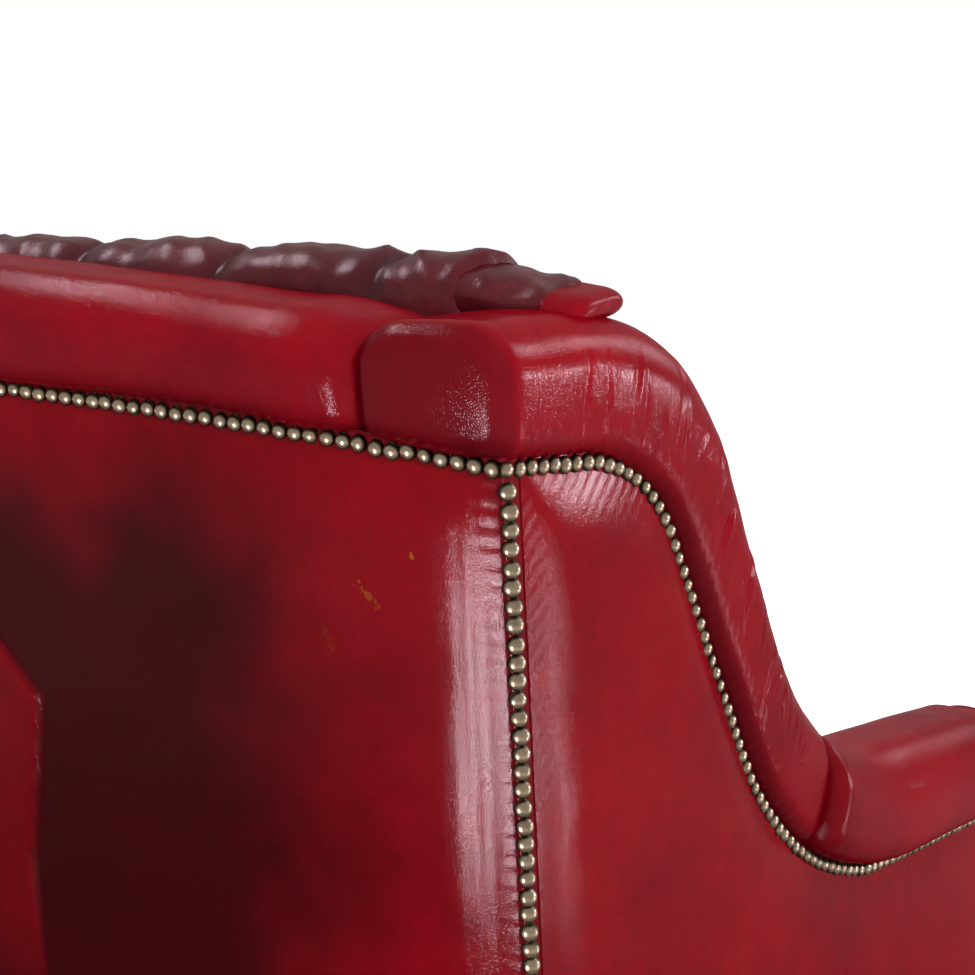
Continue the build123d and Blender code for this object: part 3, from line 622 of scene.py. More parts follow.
scuffs = [
    {
        "place": (-0.6176, 0.390, 0.8872),
        "turn": -35,
        "length": 0.015,
        "width": 0.0075,
        "strength": 0.9,
        "colour": (0.42, 0.11, 0.012),
    },
    {
        "place": (-0.5839, 0.388, 0.8569),
        "turn": -42,
        "length": 0.036,
        "width": 0.012,
        "strength": 0.85,
        "colour": (0.30, 0.055, 0.006),
    },
    {
        "place": (-0.5511, 0.385, 0.8242),
        "turn": -60,
        "length": 0.03,
        "width": 0.014,
        "strength": 0.35,
        "colour": (0.24, 0.03, 0.006),
    },
]
hides = {
    "oxbloodHide": {
        "dye": (0.32, 0.0018, 0.010),
        "darkDyeAndShade": (0.075, 0.0006, 0.0035),
        "rubbed": (0.40, 0.025, 0.03),
        "cloudiness": 0.5,
        "rubbing": 0.1,
        "coat": 0.13,
        "coatRoughness": 0.12,
        "grain": 0.3,
        "scuffs": [],
    },
    "panelHide": {
        "dye": (0.29, 0.0010, 0.0075),
        # kept very dark for the painted dark reflection in the outside back's middle
        "darkDyeAndShade": (0.03, 0.0002, 0.0012),
        "rubbed": (0.33, 0.018, 0.014),
        "cloudiness": 0.35,
        "rubbing": 0.1,
        "coat": 0.12,
        "coatRoughness": 0.12,
        "grain": 0.16,
        "scuffs": scuffs,
    },
    "buttonedHide": {
        "dye": (0.12, 0.010, 0.016),
        "darkDyeAndShade": (0.03, 0.004, 0.008),
        "rubbed": (0.2, 0.03, 0.035),
        "cloudiness": 0.6,
        "rubbing": 0.2,
        "coat": 0.28,
        "coatRoughness": 0.25,
        "grain": 0.3,
        "scuffs": [],
    },
}
oxblood, panelOxblood, buttonedHide = [leather(name, style) for name, style in hides.items()]


def brassMaterial():
    material, tree, shader = newMaterial("antiqueBrass")
    where = objectPlace(tree)
    patina = ramp(tree, noiseAt(tree, where, 190.0, 4.0, 0.6), [(0.4, 0.0), (0.7, 1.0)])
    # patina noise plus painted shade on each nail's foot
    patinaAndShade = maths(tree, "ADD", maths(tree, "MULTIPLY", patina, 0.35), wearAndShadeMask(tree, "paintedShade"), clamp=True)
    colour = mixColours(tree, patinaAndShade, (0.23, 0.18, 0.12), (0.018, 0.014, 0.007))
    tree.links.new(colour, shader.inputs["Base Color"])
    shader.inputs["Metallic"].default_value = 1.0
    tree.links.new(weighed(tree, (patinaAndShade, 0.25), (0.27, 1)), shader.inputs["Roughness"])
    bumped(tree, noiseAt(tree, where, 900.0, 3.0), 0.25, 0.0003, shader.inputs["Normal"])
    return material


def woodMaterial(name, light, dark, gloss, coat=0.0):
    material, tree, shader = newMaterial(name)
    stretched = addNode(tree, "ShaderNodeMapping", in_Scale=(3.0, 3.0, 0.35))
    tree.links.new(objectPlace(tree), stretched.inputs["Vector"])
    rings = noiseAt(tree, stretched.outputs["Vector"], 30.0, 6.0, 0.6, 1.2)
    fine = noiseAt(tree, stretched.outputs["Vector"], 220.0, 3.0, 0.6, 0.3)
    grain = weighed(tree, (rings, 0.7), (fine, 0.3))
    tree.links.new(ramp(tree, grain, [(0.35, dark), (0.65, light)]), shader.inputs["Base Color"])
    tree.links.new(weighed(tree, (grain, 0.2), (gloss, 1)), shader.inputs["Roughness"])
    shader.inputs["Coat Weight"].default_value = coat
    shader.inputs["Coat Roughness"].default_value = 0.12
    bumped(tree, grain, 0.3, 0.0003, shader.inputs["Normal"])
    return material


def clothMaterial(name, light, dark, pitch):
    material, tree, shader = newMaterial(name)
    where = objectPlace(tree)
    parts = addNode(tree, "ShaderNodeSeparateXYZ")
    tree.links.new(where, parts.inputs["Vector"])
    turns = 2 * math.pi / pitch
    slanted = maths(tree, "ADD", parts.outputs["X"], parts.outputs["Z"])
    weft, warp = [
        maths(tree, "SINE", maths(tree, "MULTIPLY", way, turns)) for way in (slanted, parts.outputs["Y"])
    ]
    weave = maths(tree, "MULTIPLY", weft, warp)
    shade = weighed(tree, (weave, 0.3), (noiseAt(tree, where, 90.0, 4.0, 0.6), 1))
    tree.links.new(ramp(tree, shade, [(0.3, dark), (0.7, light)]), shader.inputs["Base Color"])
    shader.inputs["Roughness"].default_value = 0.9
    bumped(tree, weave, 0.5, 0.0004, shader.inputs["Normal"])
    return material


def steelMaterial():
    material, tree, shader = newMaterial("plainSteel")
    tarnish = noiseAt(tree, objectPlace(tree), 60.0, 4.0, 0.6)
    tree.links.new(ramp(tree, tarnish, [(0.35, 0.5), (0.7, 0.28)]), shader.inputs["Base Color"])
    shader.inputs["Metallic"].default_value = 1.0
    tree.links.new(weighed(tree, (tarnish, 0.3), (0.25, 1)), shader.inputs["Roughness"])
    return material


slotMaterials = {
    "red_leather": oxblood,
    "tufted_leather": buttonedHide,
    "antique_brass": brassMaterial(),
    "mahogany": woodMaterial("darkMahogany", (0.065, 0.016, 0.008), (0.014, 0.004, 0.003), 0.25, coat=0.3),
    "beech": woodMaterial("rawBeech", (0.60, 0.42, 0.26), (0.42, 0.27, 0.15), 0.55),
    "jute": clothMaterial("jute", (0.50, 0.38, 0.22), (0.28, 0.20, 0.11), 0.004),
    "deck_felt": clothMaterial("deckCloth", (0.13, 0.02, 0.025), (0.06, 0.01, 0.014), 0.003),
    "black_cambric": clothMaterial("blackCambric", (0.03, 0.03, 0.03), (0.012, 0.012, 0.012), 0.0012),
    "steel": steelMaterial(),
}
for nodeName, nodeObject in frame["nodes"].items():
    nodeObject.data.materials.clear()
    nodeObject.data.materials.append(slotMaterials[slotOf[nodeName]])
print("materials made")

coarse = 1.0
tucks = {"pitch": 0.012, "depth": 0.0012, "reach": 0.011}


def nailTuck(distance, out, above):
    # How near the nails a place on a roll is, and how far they draw it in
    near = fading(above, tucks["reach"]) * smooth(0.0, 0.03, out)
    return near, tucks["depth"] * near * wave(distance, tucks["pitch"])


def makeRoll(name, style, depth, height, length, place, relief):
    outline = softOutline(
        style["bulge"] + depth,
        height,
        (style["lowerRadius"], style["upperRadius"], style["innerRadius"], style["footRadius"]),
        int(style["around"] / coarse),
        style["bow"],
    )
    rings = spreadAlong(length, style["step"] * coarse, style["rounding"])
    madePiece(name, sweptSkin(outline, rings, place, relief))


def makePanel(name, style, place, relief, outwards, material=None):
    columns, rows = int(style["across"] / coarse), int(style["up"] / coarse)
    skin = panelSkin(columns, rows, place, Vector(outwards), relief, style["depth"])
    madePiece(name, skin, material=material)


# Wing rolls: they wrap the rear corner, then turn down the wing to the arm
wingRoll = {
    "bulge": 0.012,
    "upperRadius": 0.030,
    "lowerRadius": 0.014,
    "innerRadius": 0.03,
    "footRadius": 0.006,
    "bow": 0.003,
    "rounding": (0.016, 0.014),  # at the rear end and at the seam
    "step": 0.0028,
    "around": 128,
    "lumps": [(0.0022, 0.09, 3.0), (0.0008, 0.035, 5.0)],
    "pleats": 34,
    "pleatDepth": 0.0034,
}
wingHeight = crownRun.at(0).y - rollFoot.at(0).y


def wingStation(distance):
    share = min(max(distance / footSeam, 0.0), 1.0)
    return rollFoot.at(footSeam * share), crownRun.at(crownSeam * share)


def wingPlace(side):
    width = wingRoll["bulge"] + sofa["wingThickness"]

    def place(distance, out, up):
        foot, crown = wingStation(distance)
        spot = foot.lerp(crown, up / wingHeight + 0.5)
        n = out + width / 2 - sofa["wingThickness"]
        # the rear end follows the raked back
        rearmost = (sofa["cornerHeight"] - spot.y) * math.tan(sofa["rake"]) + n * sinFlare
        rearmost = (rearmost - wingRoll["bulge"] / cosRake) / cosFlare
        forward = spot.x + rearmost * (1 - smooth(0.0, 0.30, distance))
        # and its foot rises with the nails along the crest
        lifted = crestArc(min(sofa["cornerHalfWidth"] + n, sofa["cornerHalfWidth"])) * (0.5 - up / wingHeight)
        return sidePoint(side, forward, spot.y + lifted * (1 - smooth(0.01, 0.08, distance)), n)

    return place


def pleatTable(seed, count, length):
    dice = random.Random(seed)
    table = []
    for index in range(count):
        table.append(
            {
                "start": dice.uniform(0.10, 0.95) * length,
                "lean": dice.uniform(-0.5, 0.25),
                "bend": dice.uniform(1.5, 5.0),
                "low": dice.uniform(0.0, 0.035),
                "high": dice.uniform(0.035, 0.085),
                "depth": dice.uniform(0.25, 1.0),
                "width": dice.uniform(0.0016, 0.0034),
            }
        )
    return table


def wingRelief(side):
    pleats = pleatTable(11 if side < 0 else 12, wingRoll["pleats"], footSeam)

    def relief(point, normal, distance, out, up):
        above = up + wingHeight / 2
        outer = smooth(0.0, 0.03, out)
        nearNails, tuck = nailTuck(distance, out, above)
        offset = unevenness(point, wingRoll["lumps"]) - tuck
        # arc-shaped pleats over the bend
        for pleat in pleats:
            if not pleat["low"] < above < pleat["high"]:
                continue
            line = pleat["start"] + pleat["lean"] * above + pleat["bend"] * above * above
            away = (distance - line) / pleat["width"]
            if abs(away) > 3:
                continue
            middle = (above - pleat["low"]) / (pleat["high"] - pleat["low"])
            depth = wingRoll["pleatDepth"] * pleat["depth"] * math.sin(math.pi * middle) * outer
            offset -= 0.5 * depth * math.exp(-away * away)
            offset += 0.3 * depth * math.exp(-((away - 1.6) ** 2))
        # stretch marks, most of them towards the rear corner
        streaked = 0.5 + 0.5 * lump(point, 0.05, 17.0)
        strain = (0.15 + 0.85 * smooth(0.36, 0.2, distance) * streaked) * smooth(-0.02, 0.03, out)
        # painted shade: darker in the nail tucks, towards the seam end, and over the end face that looks
        # rearwards
        paintedShade = 0.35 * nearNails + 0.4 * smooth(footSeam - 0.03, footSeam, distance)
        paintedShade += 0.5 * smooth(0.3, 0.7, normal.y)
        # the rear end is stuffed out
        if distance < 0.002:
            away = (2 * out / (wingRoll["bulge"] + sofa["wingThickness"])) ** 2
            offset += 0.005 * max(1 - away, 0.0) * max(1 - (2 * up / wingHeight) ** 2, 0.0)
        return offset, min(paintedShade, 1.0), strain, 0.25 * smooth(0.05, 0.09, above)

    return relief


# Arm rolls: smoother and fatter, from the seam to the arm's front
armRoll = {
    "bulge": 0.025,
    "upperRadius": 0.046,
    "lowerRadius": 0.018,
    "innerRadius": 0.04,
    "footRadius": 0.006,
    "bow": 0.002,
    "rounding": (0.016, 0.006),  # at the seam and at the front
    "step": 0.0035,
    "around": 112,
    "lumps": [(0.002, 0.12, 9.0)],
}
armHeight = crownRun.at(crownRun.length).y - rollFoot.at(rollFoot.length).y
armLength = rollFoot.length - footSeam

def armPlace(side):
    width = armRoll["bulge"] + sofa["wingThickness"]

    def place(distance, out, up):
        share = distance / armLength
        foot = rollFoot.at(mix(footSeam, rollFoot.length, share))
        crown = crownRun.at(mix(crownSeam, crownRun.length, share))
        spot = foot.lerp(crown, up / armHeight + 0.5)
        n = out + width / 2 - sofa["wingThickness"]
        return sidePoint(side, spot.x, spot.y, n)

    return place


def armRelief(point, normal, distance, out, up):
    above = up + armHeight / 2
    nearNails, tuck = nailTuck(distance, out, above)
    # painted shade in the nail tucks and where the arm roll meets the wing roll at the seam
    paintedShade = min(0.35 * nearNails + 0.5 * fading(distance, 0.02), 1.0)
    return unevenness(point, armRoll["lumps"]) - tuck, paintedShade, 0.25, 0.4 * smooth(0.06, 0.1, above)


# Back roll: along the crest, above the nail row
backRoll = {
    "endHeight": 0.064,
    "rise": 0.055,
    "depth": 0.088,
    "bulge": 0.012,
    "upperRadius": 0.032,
    "lowerRadius": 0.014,
    "innerRadius": 0.026,
    "footRadius": 0.006,
    "bow": 0.004,
    "rounding": (0.018, 0.018),
    "endGap": 0.0955,
    "step": 0.0042,
    "around": 104,
    "lumps": [(0.0026, 0.16, 1.0), (0.001, 0.05, 2.0)],
}
backRollHeight = backRoll["endHeight"] + backRoll["rise"] - sofa["crestRise"] - sofa["underRoll"]
backRollHalf = sofa["cornerHalfWidth"] - backRoll["endGap"]


def backRollPlace(distance, out, up):
    x = distance - backRollHalf
    width = backRoll["bulge"] + backRoll["depth"]
    deep = width / 2 - backRoll["bulge"] - out
    foot = crestArc(x) + sofa["underRoll"]
    head = backRoll["endHeight"] + backRoll["rise"] * (1 - (x / sofa["cornerHalfWidth"]) ** 2)
    spread = 1 + deep * math.tan(sofa["flare"]) / backRollHalf
    return backPoint(x * spread, mix(foot, head, up / backRollHeight + 0.5), deep)


def backRollRelief(point, normal, distance, out, up):
    above = up + backRollHeight / 2
    nearNails, tuck = nailTuck(distance, out, above)
    fromEnd = min(distance, 2 * backRollHalf - distance)
    offset = unevenness(point, backRoll["lumps"])
    offset += 0.003 * math.exp(-(((fromEnd - 0.05) / 0.03) ** 2))
    # painted shade in the nail tucks and at the roll's ends, where it meets the wing rolls
    paintedShade = min(0.3 * nearNails + 0.35 * fading(fromEnd, 0.01), 1.0)
    return offset - tuck, paintedShade, 0.2, 0.2 * smooth(0.05, 0.08, above)


# Outside back: one padded panel whose ends turn the corner to the upright nail rows
outsideBack = {
    "pillow": 0.0078,
    "fall": 0.030,
    "flap": 0.0125,
    "flapShare": 0.045,
    "across": 380,
    "up": 170,
    "depth": 0.004,
    "fill": 0.35,
    "lumps": [(0.0012, 0.11, 4.0), (0.0005, 0.04, 6.0)],
    # a loose pleat near the middle, by its lower edge as (across, up)
    "pleat": [
        (-0.205, -0.100),
        (-0.258, -0.156),
        (-0.296, -0.197),
        (-0.287, -0.250),
        (-0.273, -0.325),
        (-0.270, -0.480),
    ],
}


def outsideBackPlace(across, up):
    # the first and last few columns are flaps that turn on to the sides
    top = sofa["underRoll"] + 0.002
    share = 2 * across - 1
    flapShare = outsideBack["flapShare"]
    face = min(max(share / (1 - flapShare), -1.0), 1.0)
    spread = math.copysign(1 - (1 - abs(face)) ** 1.35, face)
    low = alongRake(sofa["railBottom"])
    roughX = spread * sofa["cornerHalfWidth"]
    height = mix(low, crestArc(roughX) + top, 1 - (1 - up) ** 1.3)
    edge = sofa["cornerHalfWidth"] - height * sinRake * math.tan(sofa["flare"])
    x = spread * edge
    toTop = crestArc(roughX) + top - height
    toSide = edge - abs(x)
    toFoot = height - low
    flap = max(abs(share) - (1 - flapShare), 0.0) / flapShare
    if flap > 0:
        point = backPoint(x, height, 0.0)
        forward = flap * outsideBack["flap"]
        side = math.copysign(1, share)
        point += Vector((side * sinFlare, -cosFlare, 0.0)) * forward
        point += Vector((side * cosFlare, sinFlare, 0.0)) * 0.0012
        return point, 0.0
    return backPoint(x, height, 0.0), min(toTop, toSide, toFoot)


def backPleat(point):
    up = alongRake(point.z)
    if not -0.48 < up < -0.10:
        return 0.0
    for (ax, ay), (bx, by) in zip(outsideBack["pleat"], outsideBack["pleat"][1:]):
        if by <= up <= ay:
            line = mix(ax, bx, (up - ay) / (by - ay))
            inside = smooth(-0.001, 0.004, point.x - line) * smooth(0.11, 0.02, point.x - line)
            return inside * smooth(-0.10, -0.17, up) * smooth(-0.48, -0.36, up)
    return 0.0


def outsideBackRelief(point, normal, across, up, edge):
    fromTop = crestArc(point.x) - alongRake(point.z)
    fromSide = halfWidthAt(point.y, 0.0) - abs(point.x)
    pillow = outsideBack["pillow"]
    for away in (fromTop, fromSide, point.z - sofa["railBottom"]):
        pillow *= risen(away, outsideBack["fall"], 1.6)
    pleat = backPleat(point)
    offset = pillow * smooth(0.0, 0.002, edge) + 0.004 * pleat
    offset += unevenness(point, outsideBack["lumps"]) * smooth(0.0, 0.05, edge)
    # tucks that run in from the nails
    alongX, alongZ = wave(point.x, tucks["pitch"]), wave(point.z / cosRake, tucks["pitch"])
    tuck = mix(alongX, alongZ, smooth(0.03, 0.01, fromSide))
    offset -= 0.0011 * fading(edge, 0.014) * tuck * smooth(0.0, 0.004, edge)
    # painted dark reflection: the colour is darkest in the middle, away from the crest and the corners, with
    # painted shade along the edges
    cloud = 0.05 * lump(point, 0.09, 7.0) + 0.02 * lump(point, 0.03, 8.0)
    paintedDarkReflection = 0.9 * smooth(0.0, 0.13, fromTop + cloud) * smooth(0.05, 0.24, fromSide + cloud)
    paintedDarkReflection *= 1 - 0.85 * pleat
    return offset, 0.3 * fading(edge, 0.006) + paintedDarkReflection, 0.12, 0.0


# Outside arms: the side panels below the rolls
outsideArm = {
    "pillow": 0.0072,
    "fall": 0.034,
    "across": 260,
    "up": 190,
    "depth": 0.005,
    "fill": 0.35,
    "lumps": [(0.0012, 0.13, 8.0), (0.0005, 0.04, 6.0)],
}
columnTops = {}


def columnTop(share):
    # The height at which a column of the panel meets the upper edge
    def behindColumn(forward):
        rear = rearEdge(panelTop(forward), sofa["sideStart"])
        return rear + (sofa["sideDepth"] - rear) * share > forward

    if share not in columnTops:
        columnTops[share] = panelTop(lastWhere(behindColumn, 0.0, sofa["sideDepth"], 26))
    return columnTops[share]


def outsideArmPlace(side):
    def place(across, up):
        top = columnTop(round(across, 6))
        height = mix(sofa["railBottom"], top, 1 - (1 - up) ** 1.25)
        rear = rearEdge(height, sofa["sideStart"])
        forward = rear + (sofa["sideDepth"] - rear) * across
        toTop = (top - height) * 0.75
        toRear = forward - rear - 0.006
        edge = nearestEdge(toTop, toRear, sofa["sideDepth"] - forward, height - sofa["railBottom"])
        return sidePoint(side, forward, height, 0.0), edge

    return place


def outsideArmRelief(point, normal, across, up, edge):
    offset = outsideArm["pillow"] * risen(edge, outsideArm["fall"], 1.6)
    offset += unevenness(point, outsideArm["lumps"]) * smooth(0.0, 0.05, edge)
    tuck = fading(edge, 0.012) * wave(point.z + point.y, 0.013)
    offset -= 0.0009 * tuck * smooth(0.0, 0.004, edge)
    # painted shade along the panel's edges where it turns in
    return offset, 0.35 * fading(edge, 0.006), 0.15, 0.12


# The buttoned inside back: diamonds, flutes down to the seat and folds over the crest
insideBack = {
    "foot": 0.3303,
    "rear": 0.054,
    "front": 0.149,
    "padFront": 0.165,
    "padRear": 0.0895,
    "crest": 0.107,
    "crestMiddleRise": 0.008,
    "crestRadius": 0.034,
    "columnPitch": 0.065,
    "rowPitch": 0.096,
    "firstRow": -0.051,
    "rows": 4,
    "halfWidth": 0.5815,
    "step": 0.0042,
    "dome": 0.017,
    "pit": 0.014,
}


def insideBackOutline():
    # (deep, up) from the bottom front upwards, over the crest and down behind
    r = insideBack["crestRadius"]
    foot = alongRake(insideBack["foot"]) - insideBack["front"] * sinRake / cosRake
    line = [Vector((insideBack["front"], foot))]
    line += [Vector((insideBack["front"], foot + 0.006)), Vector((insideBack["front"], -0.10))]
    line += [Vector((0.153, -0.065)), Vector((0.161, -0.03)), Vector((insideBack["padFront"], 0.01))]
    middle = Vector((insideBack["padFront"] - r, insideBack["crest"] - r))
    for step in range(9):
        angle = math.radians(90 * step / 8)
        line.append(middle + Vector((math.cos(angle), math.sin(angle))) * r)
    middle = Vector((insideBack["padRear"] + r, insideBack["crest"] - r))
    for step in range(1, 9):
        angle = math.radians(90 + 90 * step / 8)
        line.append(middle + Vector((math.cos(angle), math.sin(angle))) * r)
    line += [Vector((insideBack["padRear"], 0.0)), Vector((insideBack["rear"], -0.01))]
    fine = Route(line)
    count = int(fine.length / (insideBack["step"] * coarse))
    points = [fine.at(fine.length * index / count) for index in range(count + 1)]
    points += [Vector((insideBack["rear"], mix(-0.01, foot, share))) for share in (0.25, 0.5, 0.75, 1.0)]
    points.append(Vector(((insideBack["rear"] + insideBack["front"]) / 2, foot)))
    return points


buttonPlaces = []
for row in range(insideBack["rows"]):
    for column in range(-12, 13):
        x = column * insideBack["columnPitch"]
        if (row + column) % 2 == 0 and abs(x) < 0.5395:
            buttonPlaces.append((x, insideBack["firstRow"] - row * insideBack["rowPitch"]))


def foldSegments():
    # Lines from button to button, over the crest from the first row and down from the last
    columnPitch, rowPitch, first = insideBack["columnPitch"], insideBack["rowPitch"], insideBack["firstRow"]
    segments = []
    lastRow = insideBack["rows"] - 1
    for column in range(-12, 13):
        x = column * columnPitch
        if column % 2 == 0:
            segments.append(((x, first), (x, 0.5)))
        if (lastRow + column) % 2 == 0:
            segments.append(((x, first - lastRow * rowPitch), (x, -0.9)))
        for row in range(lastRow):
            if (row + column) % 2 == 0:
                for way in (-1, 1):
                    segments.append(
                        ((x, first - row * rowPitch), (x + way * columnPitch, first - (row + 1) * rowPitch))
                    )
    return segments


folds = foldSegments()


def toSegment(x, y, segment):
    (ax, ay), (bx, by) = segment
    dx, dy = bx - ax, by - ay
    share = min(max(((x - ax) * dx + (y - ay) * dy) / (dx * dx + dy * dy), 0.0), 1.0)
    return math.hypot(x - ax - dx * share, y - ay - dy * share)


def insideBackPlace(distance, deep, up):
    x = distance - insideBack["halfWidth"]
    arc = insideBack["crestMiddleRise"] * (1 - (x / sofa["cornerHalfWidth"]) ** 2) * smooth(-0.05, 0.1, up)
    spot = backPoint(x, up + arc, deep)
    spread = halfWidthAt(spot.y, sofa["innerWall"]) / insideBack["halfWidth"]
    return Vector((x * min(spread, 1.05), spot.y, spot.z))


def crestWrinkles(point):
    # Loose folds of the buttoned cover where it comes over the crest
    slanted = Vector((point.x + 0.7 * point.y, point.y * 0.35, point.z * 0.35))
    ridge = 1 - abs(lump(slanted, 0.030, 16.0)) * 2.2
    return 0.003 * ridge + 0.0026 * lump(point, 0.05, 14.0) + 0.0012 * lump(point, 0.016, 15.0)


def insideBackRelief(point, normal, distance, deep, up):
    x = distance - insideBack["halfWidth"]
    if deep < insideBack["padRear"] - 0.004:
        return 0.0, 0.0, 0.0, 0.0
    overCrest = up > -0.04
    # behind the crest the folds run straight on
    near = 9.0
    height = up
    if deep < insideBack["padFront"] - insideBack["crestRadius"]:
        height = 0.2
    for segment in folds:
        if abs(segment[0][0] - x) < 0.14:
            near = min(near, toSegment(x, height, segment))
    beside = [(bx, by) for bx, by in buttonPlaces if abs(bx - x) < 0.14]
    nearButton = min((math.hypot(x - bx, height - by) for bx, by in beside), default=9.0)
    fold = math.exp(-((near / 0.0075) ** 1.2))
    swell = 1 - math.exp(-near / 0.024)
    pit = math.exp(-((nearButton / 0.019) ** 1.6))
    if overCrest:
        wander = 0.35 + 0.65 * (0.5 + 0.5 * lump(Vector((x, 0.0, 0.0)), 0.07, 21.0))
        offset = 0.008 * swell * wander - 0.005 * fold * (0.4 + 0.6 * wander)
        offset += crestWrinkles(point)
        offset *= smooth(insideBack["padRear"] - 0.004, insideBack["padRear"] + 0.01, deep)
        offset -= insideBack["pit"] * pit
    else:
        offset = insideBack["dome"] * swell - 0.006 * fold - insideBack["pit"] * pit
        offset += 0.0012 * lump(point, 0.04, 14.0) + 0.0006 * lump(point, 0.016, 15.0)
        calm = smooth(-0.47, -0.40, up)
        offset = mix(0.006 * swell - 0.005 * fold, offset, calm)
    # painted shade in the fold valleys and the button pits
    paintedShade = min(0.75 * fold + 0.6 * pit, 1.0)
    return offset, paintedShade, 0.35 * (1 - fold), 0.3 * swell


def makeInsideBack():
    outline = insideBackOutline()
    count = int(2 * insideBack["halfWidth"] / (insideBack["step"] * coarse))
    rings = [(0.0, ("flat", share, 0.0)) for share in (1.0, 0.5)]
    for index in range(count + 1):
        edge = 2 * insideBack["halfWidth"] * index / count
        rings.append((edge, ("round", 0.0, 0.0)))
    rings += [(2 * insideBack["halfWidth"], ("flat", share, 0.0)) for share in (0.5, 1.0)]
    skin = sweptSkin(outline, rings, insideBackPlace, insideBackRelief)
    madePiece("insideBack", skin)


# The crest pad's ends lie over the wing rolls: buttoned cover, then a plain cap
crestEnd = {
    "inner": 0.560,
    "outer": 0.664,
    "cap": 0.658,
    "capOuter": 0.691,
    "low": 0.072,
    "high": 0.109,
    "rear": 0.0935,
    "front": 0.161,
    "fall": 0.019,
}


def makeCrestEnd(side, label):
    height = crestEnd["high"] - crestEnd["low"]
    width = crestEnd["front"] - crestEnd["rear"]

    def crestPlace(inner, grow):
        def place(distance, out, up):
            x = inner + distance
            deep = (crestEnd["front"] + crestEnd["rear"]) / 2 - out * grow
            fall = crestEnd["fall"] * smooth(crestEnd["inner"], crestEnd["capOuter"], x)
            share = up / height + 0.5
            low = crestEnd["low"] + 0.004 * (1 - grow)
            return backPoint(side * x, mix(low, crestEnd["high"] - fall + 0.003 * (grow - 1), share), deep)

        return place

    def relief(point, normal, distance, out, up):
        upper = smooth(-0.008, 0.008, up)
        offset = crestWrinkles(point) * (0.35 + 0.65 * upper)
        # painted shade over the lower half, under the pad
        return offset, 0.25 * (1 - upper), 0.3, 0.3 * upper

    def capRelief(point, normal, distance, out, up):
        # painted shade where the cap meets the buttoned end
        return 0.0012 * lump(point, 0.03, 31.0), 0.4 * math.exp(-distance / 0.006), 0.2, 0.1

    outline = softOutline(width, height, (0.012, 0.016, 0.016, 0.012), int(64 / coarse), 0.002)
    rings = spreadAlong(crestEnd["outer"] - crestEnd["inner"], 0.003 * coarse, (0.004, 0.012))
    skin = sweptSkin(outline, rings, crestPlace(crestEnd["inner"], 1.0), relief)
    madePiece(f"crestEnd{label}", skin, slot="tufted_leather")
    rings = spreadAlong(crestEnd["capOuter"] - crestEnd["cap"], 0.003 * coarse, (0.005, 0.016))
    skin = sweptSkin(outline, rings, crestPlace(crestEnd["cap"], 1.05), capRelief)
    madePiece(f"crestCap{label}", skin, slot="red_leather")


# Inside wings and inside arms
insideWing = {"across": 90, "up": 110, "depth": 0.03, "fill": 0.5, "low": 0.5, "high": 0.92, "rear": 0.1}
insideArm = {
    "across": 150,
    "up": 60,
    "depth": 0.04,
    "fill": 0.5,
    "low": 0.303,
    "rearTop": 0.502,
    "rear": 0.16,
    "front": 0.789,
}


def insideWingPlace(side):
    def place(across, up):
        # from the inside back forwards to the seam, from the seat seam up to the roll's foot
        level = mix(insideWing["low"], insideWing["high"], up)
        forwardEnd = frontOfWing(level)
        forward = mix(rearEdge(level, insideWing["rear"]), forwardEnd, across)
        limit = panelTop(min(max(forward, 0.0), 0.78)) + 0.01
        height = min(level, limit)
        edge = min(forwardEnd - forward, height - insideWing["low"], limit - height + 0.004)
        return sidePoint(side, forward, height, -sofa["innerFace"]), edge

    return place


def frontOfWing(height):
    # Where the wing's front lies at a height: the roll's foot, or the seam under it
    distance = rollFoot.crossing(lambda p: p.y < height and p.x > 0.1)
    return min(rollFoot.at(distance).x, seamAt(height))


def insideArmPlace(side):
    def place(across, up):
        forward = mix(insideArm["rear"], insideArm["front"], across)
        top = panelTop(forward) + 0.012
        top = mix(top, insideArm["rearTop"], smooth(0.40, 0.32, forward))
        height = mix(insideArm["low"], top, up)
        edge = min(height - insideArm["low"], top - height, insideArm["front"] - forward + 0.01)
        return sidePoint(side, forward, height, -sofa["innerFace"]), edge

    return place


def insideRelief(point, normal, across, up, edge):
    # painted shade along the panel's edges
    return 0.006 * risen(edge, 0.03) + 0.0012 * lump(point, 0.1, 41.0), 0.3 * fading(edge, 0.008), 0.2, 0.1


# Arm facings: flat fronts of the arms with a round head
armFacing = {
    "radius": 0.0605,
    "middle": 0.0355,
    "pillow": 0.0035,
    "across": 50,
    "up": 150,
    "depth": 0.012,
    "fill": 0.3,
}
facingTop = crownRun.at(crownRun.length).y
facingCentre = facingTop - armFacing["radius"]


def facingPlace(side):
    def place(across, up):
        height = mix(sofa["railBottom"], facingTop, 1 - (1 - up) ** 1.6)
        rise = height - facingCentre
        left, right = 0.0, sofa["wingThickness"]
        if abs(rise) < armFacing["radius"]:
            chord = math.sqrt(armFacing["radius"] ** 2 - rise**2)
            left = min(0.0, armFacing["middle"] - chord) if rise < 0 else armFacing["middle"] - chord
            right = max(right, armFacing["middle"] + chord) if rise < 0 else armFacing["middle"] + chord
        elif rise >= armFacing["radius"]:
            left = right = armFacing["middle"]
        inwards = mix(left, right, across)
        edge = min(inwards - left, right - inwards, facingTop - height, height - sofa["railBottom"])
        point = sidePoint(side, sofa["sideDepth"] + armFacing["depth"], height, -inwards)
        return point, edge

    return place


def facingRelief(point, normal, across, up, edge):
    offset = armFacing["pillow"] * risen(edge - 0.012, 0.014)
    # painted shade along the facing's edges
    return offset, 0.3 * fading(edge - 0.008, 0.004), 0.1, 0.0


